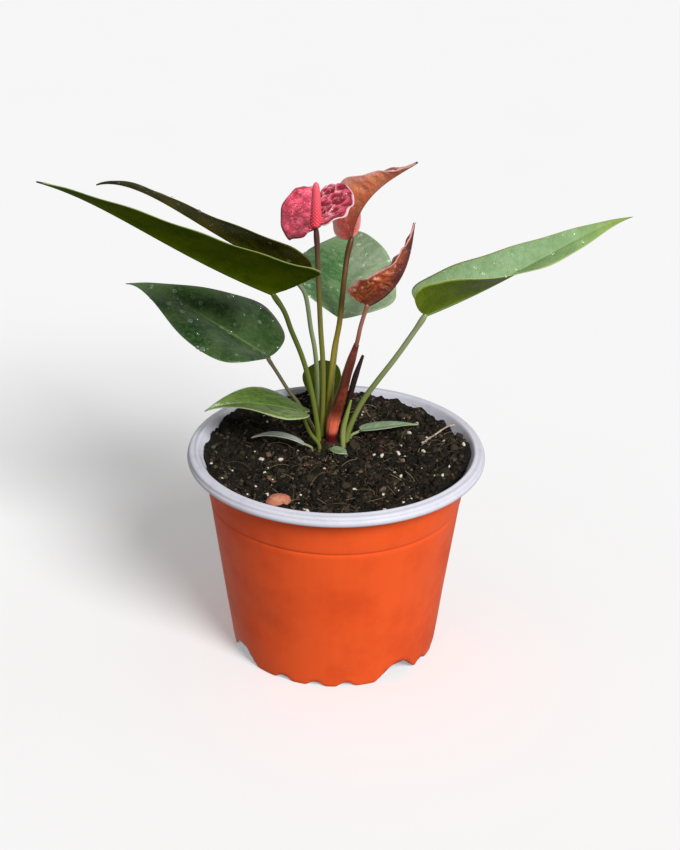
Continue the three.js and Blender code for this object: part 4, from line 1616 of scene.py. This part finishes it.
    def drill(self, pot: bpy.types.Object) -> None:
        """Cuts the drain holes.

        Args:
            pot: The pot.
        """
        for k in range(self.holes):
            turn = (k + 0.5) * math.pi / 2
            reach, radius = self.hole_reach, self.hole_radius * MM
            work = bmesh.new()
            bmesh.ops.create_cone(work, cap_ends=True, segments=40, radius1=radius, radius2=radius, depth=8 * MM)
            middle = np.array([reach * math.cos(turn), reach * math.sin(turn), self.floor_height + 0.6]) - MIDDLE
            bmesh.ops.translate(work, verts=work.verts, vec=middle * MM)
            mesh = bpy.data.meshes.new("drill")
            work.to_mesh(mesh)
            work.free()
            cutter = put("drill", mesh)
            modifier = pot.modifiers.new("hole", "BOOLEAN")
            modifier.operation, modifier.object, modifier.solver = "DIFFERENCE", cutter, "EXACT"
            ready = pot.evaluated_get(bpy.context.evaluated_depsgraph_get())
            cut = bpy.data.meshes.new_from_object(ready)
            pot.modifiers.clear()
            pot.data = cut
            bpy.data.objects.remove(cutter)


@dataclass(frozen=True)
class Soil:
    """Peat with crumbs, bark, perlite and fibres, heaped a little to the right and the back."""

    rings: int = 110
    sides: int = 400
    bottom: float = 9.1
    highest: float = 95.0
    bank_heights: tuple[float, ...] = (80, 89.2, 93.6, 95.2)
    bank_reach: tuple[float, ...] = (54.8, 56.1, 58.8, 59.4)  # radius of the soil's edge at those heights
    gap: float = 0.3  # to the pot's wall
    bare_below: float = 84.5  # no grain lies lower
    grains: tuple[Scatter, ...] = (
        Scatter("soil_crumbs", Grain.CRUMB, CRUMB, density=44.0, smallest=0.8, largest=3.0, flat=0.75, seed=11),
        Scatter(
            "soil_clods", Grain.CRUMB, PEAT, density=6.0, smallest=2.4, largest=6.5, flat=0.6, sink=0.2, seed=15,
            splits=2,
        ),
        Scatter("soil_bark", Grain.CRUMB, BARK, density=3.6, smallest=1.4, largest=5.0, flat=0.35, seed=12),
        Scatter(
            "soil_perlite", Grain.CRUMB, PERLITE, density=1.9, smallest=0.6, largest=2.8, flat=0.8, sink=-0.2,
            seed=13, splits=2,
        ),
        Scatter(
            "soil_fibres", Grain.STRAND, FIBRE, density=6.0, smallest=0.6, largest=2.8, flat=0.8, sink=-0.3, seed=14,
        ),
    )

    def bank(self, height: np.ndarray) -> np.ndarray:
        """Radius of the soil's edge where its surface has a height."""
        return np.interp(height, self.bank_heights, self.bank_reach)

    def surface(self, x: np.ndarray, y: np.ndarray) -> np.ndarray:
        """Height of the rough surface.

        Args:
            x: Millimetres to the right of the pot's axis.
            y: Millimetres behind it.

        Returns:
            Millimetres above the floor.
        """
        flat = np.stack([x, y, np.zeros_like(x)], axis=-1)
        flat = flat + 0.8 * np.stack([roughen(flat, 0.3, 2, 5.0), roughen(flat, 0.3, 2, 8.0), x * 0], axis=-1)
        lumps = 0.8 * roughen(flat, 0.1, 3)
        for size, height in ((5.5, 1.7), (2.1, 0.8)):
            reach = [noise.voronoi(Vector(spot) / size)[0] for spot in flat]
            lumps += height * np.clip([(second - first) * 1.6 for first, second, *_ in reach], 0, 1) ** 0.7
        return soil_top(x, y) + lumps - 1.2

    def body(self) -> bpy.types.Object:
        """Makes the peat.

        Returns:
            The peat.
        """
        pot = Pot()
        turn = np.linspace(0, 2 * np.pi, self.sides, endpoint=False)
        rows = []
        for k in range(self.rings + 1):
            share = k / self.rings
            edge = np.full(self.sides, 56.2)
            for _ in range(3):  # nearer to where the surface meets the wall each time
                edge = self.bank(soil_top(edge * np.cos(turn), edge * np.sin(turn)))
            x, y = share * edge * np.cos(turn), share * edge * np.sin(turn)
            rows.append(np.stack([x, y, np.minimum(self.surface(x, y), self.highest)], axis=-1))
        for z in (84.0, 60.0, 30.0, self.bottom):
            radius = pot.wall_radius(z) - pot.wall - self.gap
            rows.append(np.stack([radius * np.cos(turn), radius * np.sin(turn), np.full(self.sides, z)], axis=-1))
        rows.append(rows[-1] * (0, 0, 1))
        return cast("peat", PEAT, (np.vstack(rows), grid_faces(len(rows), self.sides, wrap=True), {}))

    def build(self) -> None:
        """Makes the soil and what lies in it."""
        soil = self.body()
        settle(soil, "potting_soil", "soil")
        place = np.array([corner.co for corner in soil.data.vertices]) / MM + MIDDLE
        x, y, z = place.T
        inward = (self.bank(z) - np.hypot(x, y)) * (z > self.bare_below)
        patchy = np.clip(0.75 + 0.9 * roughen(place * (1, 1, 0), 0.06, 2, 4.0), 0.1, 1.6)
        heap = mound(x, y, (56, 3), 9)
        chips = mound(x, y, (20, 12.5), 3)
        spreads = {  # millimetres kept free at the wall, and how thickly the grains lie
            "soil_crumbs": (1.3, patchy), "soil_clods": (2.6, patchy + 2 * heap),
            "soil_bark": (2.2, patchy + 12 * chips), "soil_perlite": (1.5, patchy**2),
            "soil_fibres": (5.5, patchy + 3 * heap),
        }
        for layer in self.grains:
            margin, thickly = spreads[layer.name]
            layer.over(soil, (inward > margin) * thickly, "potting_soil")


@dataclass(frozen=True)
class Trifles:
    """The crown of the plant, the clay pebble and the dry twig. Sizes in mm and degrees."""

    crown_at: tuple[float, float] = (-3.0, 16.5)
    crown_span: tuple[float, float] = (-5.0, 4.0)  # from the soil's height
    crown_radius: float = 10.0
    crown_foot: float = 7.0  # radius of its lower end
    pebble_at: tuple[float, float] = (-24.2, -38.7)
    pebble_size: Point = (5.25, 3.75, 3.1)  # half of each measure
    pebble_turn: float = 20.0
    pebble_rise: float = 1.62  # of its middle above the soil
    twig: tuple[tuple[float, float], tuple[float, float]] = ((37.7, 10.6), (53.5, 24.2))
    twig_radius: float = 0.5
    twig_rise: float = 0.9  # of its lower end's middle above the soil

    def crown(self) -> bpy.types.Object:
        """Makes the low scaly stump.

        Returns:
            The stump.
        """
        steps, sides, shoulder = 40, 72, 0.55
        x, y = self.crown_at
        levels = float(soil_top(x, y)) + np.linspace(*self.crown_span, steps)
        route = np.stack([np.full(steps, x), np.full(steps, y), levels], axis=-1)
        t = np.linspace(0, 1, steps)[:, None]
        turn = np.linspace(0, 2 * np.pi, sides, endpoint=False)[None, :]
        flared = self.crown_foot + (self.crown_radius - self.crown_foot) * t / shoulder
        domed = self.crown_radius * np.sqrt(np.clip(1 - ((t - shoulder) / 0.46) ** 2, 0, 1))
        scales = 1 + 0.05 * np.cos(9 * turn + 14 * t) * np.cos(30 * t) + 0.03 * np.cos(23 * turn)
        body = limb(route, np.where(t < shoulder, flared, domed) * scales, sides)
        return cast("crown_stump", CROWN, body)

    def pebble(self) -> bpy.types.Object:
        """Makes the lumpy pebble.

        Returns:
            The pebble.
        """
        work = bmesh.new()
        bmesh.ops.create_icosphere(work, subdivisions=5, radius=1.0)
        points = np.array([corner.co for corner in work.verts])
        faces = [[corner.index for corner in face.verts] for face in work.faces]
        work.free()
        points = points * (1 + 0.1 * roughen(points, 1.3, 3, 2.0) + 0.02 * roughen(points, 6.0, 2))[:, None]
        x, y, z = (points * self.pebble_size).T
        turn = math.radians(self.pebble_turn)
        right = x * math.cos(turn) - y * math.sin(turn) + self.pebble_at[0]
        back = x * math.sin(turn) + y * math.cos(turn) + self.pebble_at[1]
        height = float(soil_top(*self.pebble_at)) + self.pebble_rise
        return cast("pebble_stone", CLAY, (np.stack([right, back, z + height], axis=-1), faces, {}))

    def stick(self) -> bpy.types.Object:
        """Makes the crooked twig, which arches off the soil.

        Returns:
            The twig.
        """
        steps = 60
        (x0, y0), (x1, y1) = self.twig
        points = []
        for t in (0, 0.3, 0.65, 1):
            x, y = x0 + (x1 - x0) * t, y0 + (y1 - y0) * t
            points.append((x, y, float(soil_top(x, y)) + self.twig_rise + 3.4 * t * (1 - 0.25 * t)))
        route = smooth_route(points, steps)
        t = np.linspace(0, 1, steps)
        route[:, 1] += 0.35 * np.sin(9 * t) * np.sin(np.pi * t)
        radius = self.twig_radius - 0.2 * t + 0.06 * np.sin(37 * t) + 0.04 * np.sin(83 * t)
        return cast("twig_stick", TWIG, limb(route, radius, 12))

    def build(self) -> None:
        """Makes all three."""
        settle(self.crown(), "crown", "crown")
        settle(self.pebble(), "clay_pebble", "pebble")
        settle(self.stick(), "dry_twig", "twig")


# ---- the studio ----


@dataclass(frozen=True)
class Studio:
    """The pale floor, the soft lights and the camera at the photograph's angle. Sizes in mm about the pot's axis."""

    distance: float = 900.0
    elevation: float = 29.0
    target_height: float = 60.0
    target_pixel: tuple[float, float] = (336.1, 516.6)
    focal_pixels: float = 2023.0
    roll: float = 0.76
    width: int = 680
    height: int = 850
    key_azimuth: float = 33.0  # degrees to the right of the camera's side
    key_elevation: float = 38.0
    key_softness: float = 26.0  # degrees across
    key_power: float = 3.3
    sky: float = 0.33

    def camera(self) -> None:
        """Places the camera so that the pot falls where the photograph has it."""
        rise = math.radians(self.elevation)
        place = np.array([0, -self.distance * math.cos(rise), self.distance * math.sin(rise) + self.target_height])
        dip = rise - math.atan((self.target_pixel[1] - self.height / 2) / self.focal_pixels)
        yaw = math.atan((self.width / 2 - self.target_pixel[0]) / self.focal_pixels)
        ahead = Vector((math.sin(yaw) * math.cos(dip), math.cos(yaw) * math.cos(dip), -math.sin(dip)))
        level = Vector((math.cos(yaw), -math.sin(yaw), 0))
        lift = level.cross(ahead)
        turn = math.radians(self.roll)
        right = level * math.cos(turn) + lift * math.sin(turn)
        top = lift * math.cos(turn) - level * math.sin(turn)
        lens = bpy.data.cameras.new("camera")
        lens.sensor_width = 36.0
        lens.lens = self.focal_pixels * lens.sensor_width / self.height
        lens.clip_start, lens.clip_end = 0.01, 50
        camera = put("camera", lens)
        facing = Matrix((right, top, -ahead)).transposed().to_4x4()
        camera.matrix_world = Matrix.Translation((place - MIDDLE) * MM) @ facing
        bpy.context.scene.camera = camera

    def light(self) -> None:
        """Hangs the broad key light and sets the white surroundings."""
        turn, rise = math.radians(self.key_azimuth), math.radians(self.key_elevation)
        lamp = bpy.data.lights.new("key", "SUN")
        lamp.energy, lamp.angle = self.key_power, math.radians(self.key_softness)
        holder = put("key", lamp)
        ray = Vector((-math.sin(turn) * math.cos(rise), math.cos(turn) * math.cos(rise), -math.sin(rise)))
        holder.rotation_euler = ray.to_track_quat("-Z", "Y").to_euler()
        world = bpy.data.worlds.new("surroundings")
        world.use_nodes = True
        background = world.node_tree.nodes["Background"]
        background.inputs["Color"].default_value = grey(1.0)
        background.inputs["Strength"].default_value = self.sky
        bpy.context.scene.world = world
        bpy.context.scene.view_settings.view_transform = "Standard"

    def floor(self) -> None:
        """Lays the floor."""
        mesh = bpy.data.meshes.new("floor")
        reach = 20.0  # metres
        corners = [(-reach, -reach, 0), (reach, -reach, 0), (reach, reach, 0), (-reach, reach, 0)]
        mesh.from_pydata(corners, [], [(0, 1, 2, 3)])
        mesh.materials.append(painted(FloorFinish("floor")))
        sheet = put("floor", mesh)
        sheet.visible_diffuse = sheet.visible_glossy = False  # it shows no sheen of itself on the dark leaves

    def build(self) -> None:
        """Sets up the studio."""
        self.camera()
        self.light()
        self.floor()


LEAVES = (
    Leaf(
        "upper_left_long", (-27.9, 1.2, 166.6), length=115.5, half_width=27, lobe=7, widest=0.06, fullness=0.52,
        lobe_width=0.8, tip_width=0.29, curl=0.3,
        heading=202, swing=-1, climb=29, droop=-15, hook=23, roll=27, twist=-14, fold=(34, 21),
        stem=(
            (-8.1, 12, 95), (-10.6, 10.5, 113.6), (-13.3, 9, 127), (-15.9, 7.5, 136.4), (-19.9, 5.5, 147.8),
            (-22.9, 3.5, 157.4),
        ),
        stem_radius=1.2, finish=OLIVE, stem_finish=STEM_OLIVE, slot="leaf_dark_olive", stem_slot="stem_green",
        veins=13,
    ),
    Leaf(
        "upper_left_back", (-20.4, 21.7, 167.9), length=102.5, half_width=21, lobe=9, widest=0.15, fullness=0.46,
        lobe_width=0.43, tip_width=0.35, curl=0.3,
        heading=160, swing=-12, climb=17, droop=-15, hook=57, roll=41, twist=-17, fold=(32, 16),
        stem=(
            (-8.6, 20.5, 94), (-9, 20.5, 122), (-10, 21, 132.5), (-11.6, 21.3, 141), (-14.4, 21.6, 158),
            (-17.4, 21.7, 163),
        ),
        stem_radius=1.1, finish=BROWN_OLIVE, stem_finish=STEM_PALE, slot="leaf_dark_olive", stem_slot="stem_pale",
        veins=12, drops=(drops("upper_left_back", density=0.9, smallest=0.8, largest=2.2, seed=22),), wet_face=0.0,
    ),
    Leaf(
        "left_wide", (-31, 23.5, 126.8), length=77, half_width=27, lobe=(1.2, 3.4), widest=0.17, fullness=0.21,
        lobe_width=(0.25, 0.46), tip_width=0.04, curl=0.3,
        heading=171, swing=-31, climb=31, droop=15, hook=35, roll=3, twist=-35, fold=(31, 0),
        stem=((-9.5, 16, 93.5), (-17, 18.5, 106.9), (-21.5, 20, 112.4), (-26.1, 22, 119.3)),
        stem_radius=0.9, finish=DEEP, stem_finish=STEM_BROWN, slot="leaf_deep_green", stem_slot="stem_brown",
        drops=(drops("left_wide", density=1.5, smallest=0.8, largest=2.8, seed=23),),
    ),
    Leaf(
        "left_low", (-14.7, 4, 109.5), length=44, half_width=13.3, lobe=3, widest=0.2, fullness=0.4,
        lobe_width=0.29, tip_width=0.22, curl=0.18,
        heading=178, swing=26, climb=15, droop=12, hook=20, roll=10, twist=-34, fold=(6, 36),
        stem=((-7.6, 8, 91.5), (-11.2, 7, 97.4), (-13.6, 5.5, 103.8)),
        stem_radius=0.9, finish=LIGHT, stem_finish=STEM_OLIVE, slot="leaf_light_green", stem_slot="stem_green",
        veins=9,
    ),
    Leaf(
        "back_centre", (1, 32.5, 142), length=80.5, half_width=25, lobe=4, widest=0.1, fullness=0.48,
        lobe_width=0.44, tip_width=0.72, curl=0.2,
        heading=87, swing=0, climb=4, droop=-17, hook=28, roll=10, twist=-26, fold=(38, 24),
        stem=((-2.9, 23.5, 93), (-2.2, 26, 113.7), (-0.6, 29.5, 130)),
        stem_radius=1.1, finish=PALE, stem_finish=STEM_LEAF, slot="leaf_pale_green", stem_slot="stem_green",
        drops=(drops("back_centre", density=1.5, smallest=0.9, largest=3.0, seed=24),),
    ),
    Leaf(
        "right_long", (38, 15.1, 151.9), length=111, half_width=19, lobe=(1, 4), widest=0.11, fullness=0.2,
        lobe_width=0.59, tip_width=0.18, curl=0.07,
        heading=18, swing=21, climb=16, droop=-7, hook=28, roll=-26, twist=73, fold=(49, 0),
        stem=(
            (4.6, 13.5, 93), (7.9, 14.5, 102.7), (11.8, 15, 110.7), (17, 15, 118.8), (25.7, 15, 131.6),
            (35, 15, 146.7),
        ),
        stem_radius=1.3, finish=LONG, stem_finish=STEM_LEAF, slot="leaf_pale_green", stem_slot="stem_green",
        veins=14, drops=(drops("right_long", density=0.8, smallest=0.8, largest=2.8, seed=25),),
    ),
    Leaf(
        "young_maroon", (12.8, 12, 157.5), length=46, half_width=14, lobe=4, widest=0.25, fullness=0.2,
        lobe_width=0.61, tip_width=0.02, curl=0.02,
        heading=-25, swing=22, climb=29, droop=-80, hook=28, roll=-20, twist=29, fold=(42, 49),
        stem=((5.9, 12.4, 132.5), (8.2, 12.5, 138.4), (10, 12.3, 147.5)),
        stem_radius=1.0, finish=MAROON, stem_finish=STEM_PINK, slot="leaf_maroon", stem_slot="stem_pink",
        rooted=False, veins=9, cells=(0.8, 0.8), wave=0.4, wave_length=13,
        drops=(drops("young_maroon", density=2.0, smallest=0.9, largest=2.6, seed=26),), wet_face=0.0,
    ),
    Leaf(
        "young_copper", (5.7, 34, 179.6), length=49.4, half_width=14.5, lobe=(0.8, 4), widest=0.11, fullness=0.55,
        lobe_width=(0.3, 0.63), tip_width=0.02, curl=-0.14,
        heading=-31, swing=18, climb=84, droop=72, hook=-23, roll=-50, twist=60, fold=(55, 50),
        stem=(
            (-4.2, 19.2, 94), (-2.7, 20, 117), (-1.5, 21.5, 131), (0.6, 23, 142.7), (2.3, 26.2, 160.4),
            (3.8, 31, 172.1),
        ),
        stem_radius=1.3, finish=COPPER, stem_finish=STEM_DARK, slot="leaf_copper", stem_slot="stem_brown",
        veins=9, cells=(0.8, 0.8), wave=0.4, wave_length=13,
    ),
    Leaf(
        "back_small", (-6.7, 33.6, 101.9), length=25, half_width=9.3, lobe=3, widest=0.38, fullness=0.59,
        lobe_width=0.28, tip_width=0.32, curl=0.06,
        heading=89, swing=6, climb=28, droop=5, hook=25, roll=7, twist=-27, fold=(27, 16),
        stem=((-6, 24.5, 93.5), (-6.3, 29, 98.2)),
        stem_radius=0.8, finish=ROUND, stem_finish=STEM_LEAF, slot="leaf_deep_green", stem_slot="stem_green",
        veins=7,
    ),
    Leaf(
        "low_right", (11.5, 19.5, 93.4), length=26, half_width=5.5, lobe=1.2, widest=0.35, fullness=0.45,
        lobe_width=0.3, tip_width=0.2, curl=0.1,
        heading=8, swing=4, climb=8, droop=12, hook=0, roll=-8, twist=0, fold=(18, 12),
        stem=((6.5, 17.5, 91.5), (9, 18.6, 92.6)),
        stem_radius=0.7, finish=SMALL, stem_finish=STEM_LEAF, slot="leaf_light_green", stem_slot="stem_green",
        veins=7, wave=0.2,
    ),
    Leaf(
        "low_left", (-15, 8.4, 92), length=24, half_width=2.4, lobe=0.8, widest=0.4, fullness=0.5, lobe_width=0.4,
        tip_width=0.3, curl=0.1,
        heading=176, swing=-3, climb=32, droop=58, hook=0, roll=0, twist=0, fold=(18, 14),
        stem=((-10.8, 8, 90), (-13, 8.2, 91.3)),
        stem_radius=0.6, finish=SILVER, stem_finish=STEM_LEAF, slot="leaf_grey_green", stem_slot="stem_green",
        veins=5, wave=0.1,
    ),
    Leaf(
        "tiny_front", (-1.5, 5.2, 91.2), length=8, half_width=3, lobe=0.8, widest=0.4, fullness=0.6, lobe_width=0.4,
        tip_width=0.3, curl=0.1,
        heading=-35, swing=0, climb=4, droop=14, hook=0, roll=0, twist=0, fold=(10, 6),
        stem=((-3, 6.8, 90),),
        stem_radius=0.6, finish=SMALL, stem_finish=STEM_LEAF, slot="leaf_grey_green", stem_slot="stem_green",
        veins=4, wave=0.1,
    ),
)
FLOWER = Flower(Leaf(
    "flower", (-9.6, 5.5, 194.8), length=36.5, half_width=16, lobe=4, widest=0.31, fullness=0.64, lobe_width=0.36,
    tip_width=0.28, curl=0.3,
    heading=84, swing=8, climb=5, droop=-20, hook=67, roll=-29, twist=30, fold=(10, 50),
    stem=(
        (-6.4, 15.5, 95), (-6.1, 13.5, 115.3), (-6.3, 11.5, 130.8), (-7.3, 9.7, 146), (-8.4, 7.4, 170.6),
        (-9.1, 6.1, 187),
    ),
    stem_radius=1.2, finish=SPATHE, stem_finish=STEM_FLOWER, slot="spathe", stem_slot="stem_brown",
    pucker=0.5, veins=8, quilt=0.2, cells=(1.1, -1.0), wave=0.4, wave_length=9, rows=(12, 26, 60), columns=30,
    drops=(drops("flower", density=3.5, smallest=0.5, largest=1.6, seed=27),),
))
SHEATHS = (
    Sheath(
        "red_sheath",
        route=(
            (-2.2, 12, ROOT_Z), (-2.3, 12, 94), (-1.4, 12, 101.9), (0.3, 12, 109), (2.4, 12.2, 116.5),
            (4.3, 12.4, 124.5), (6.5, 12.5, 132.5), (8.2, 12.5, 138.4),
        ),
        radii=(2, 2.4, 3, 2.8, 2.4, 2.1, 1.9, 1.15), finish=RED_SHEATH, slot="red_sheath",
    ),
    Sheath(
        "dry_sheath",
        route=(
            (1.2, 17.6, ROOT_Z), (2.6, 16.2, 98), (4.3, 14.9, 106), (6.2, 14.4, 115), (8.2, 14.6, 123.1),
            (11.1, 15, 132),
        ),
        radii=(1, 1, 1.1, 1.3, 1.3, 0.6), finish=DRY_SHEATH, slot="dry_sheath", lap=0.3, ribs=5,
    ),
    Sheath(
        "green_sheath",
        route=((3, 10, ROOT_Z), (2.9, 10, 98), (4.5, 10, 105.9), (6.2, 10.3, 112.6)),
        radii=(1.1, 1.3, 1.1, 0.5), finish=GREEN_SHEATH, slot="stem_green", lap=0.2, ribs=5,
    ),
)


def main() -> None:
    """Builds the studio and the plant, logging the faces of each piece."""
    logging.basicConfig(level=logging.INFO, format="%(name)s: %(message)s")
    Studio().build()
    Pot().build()
    Soil().build()
    Trifles().build()
    for part in (*LEAVES, FLOWER, *SHEATHS):
        part.build()


if __name__ == "__main__":
    main()
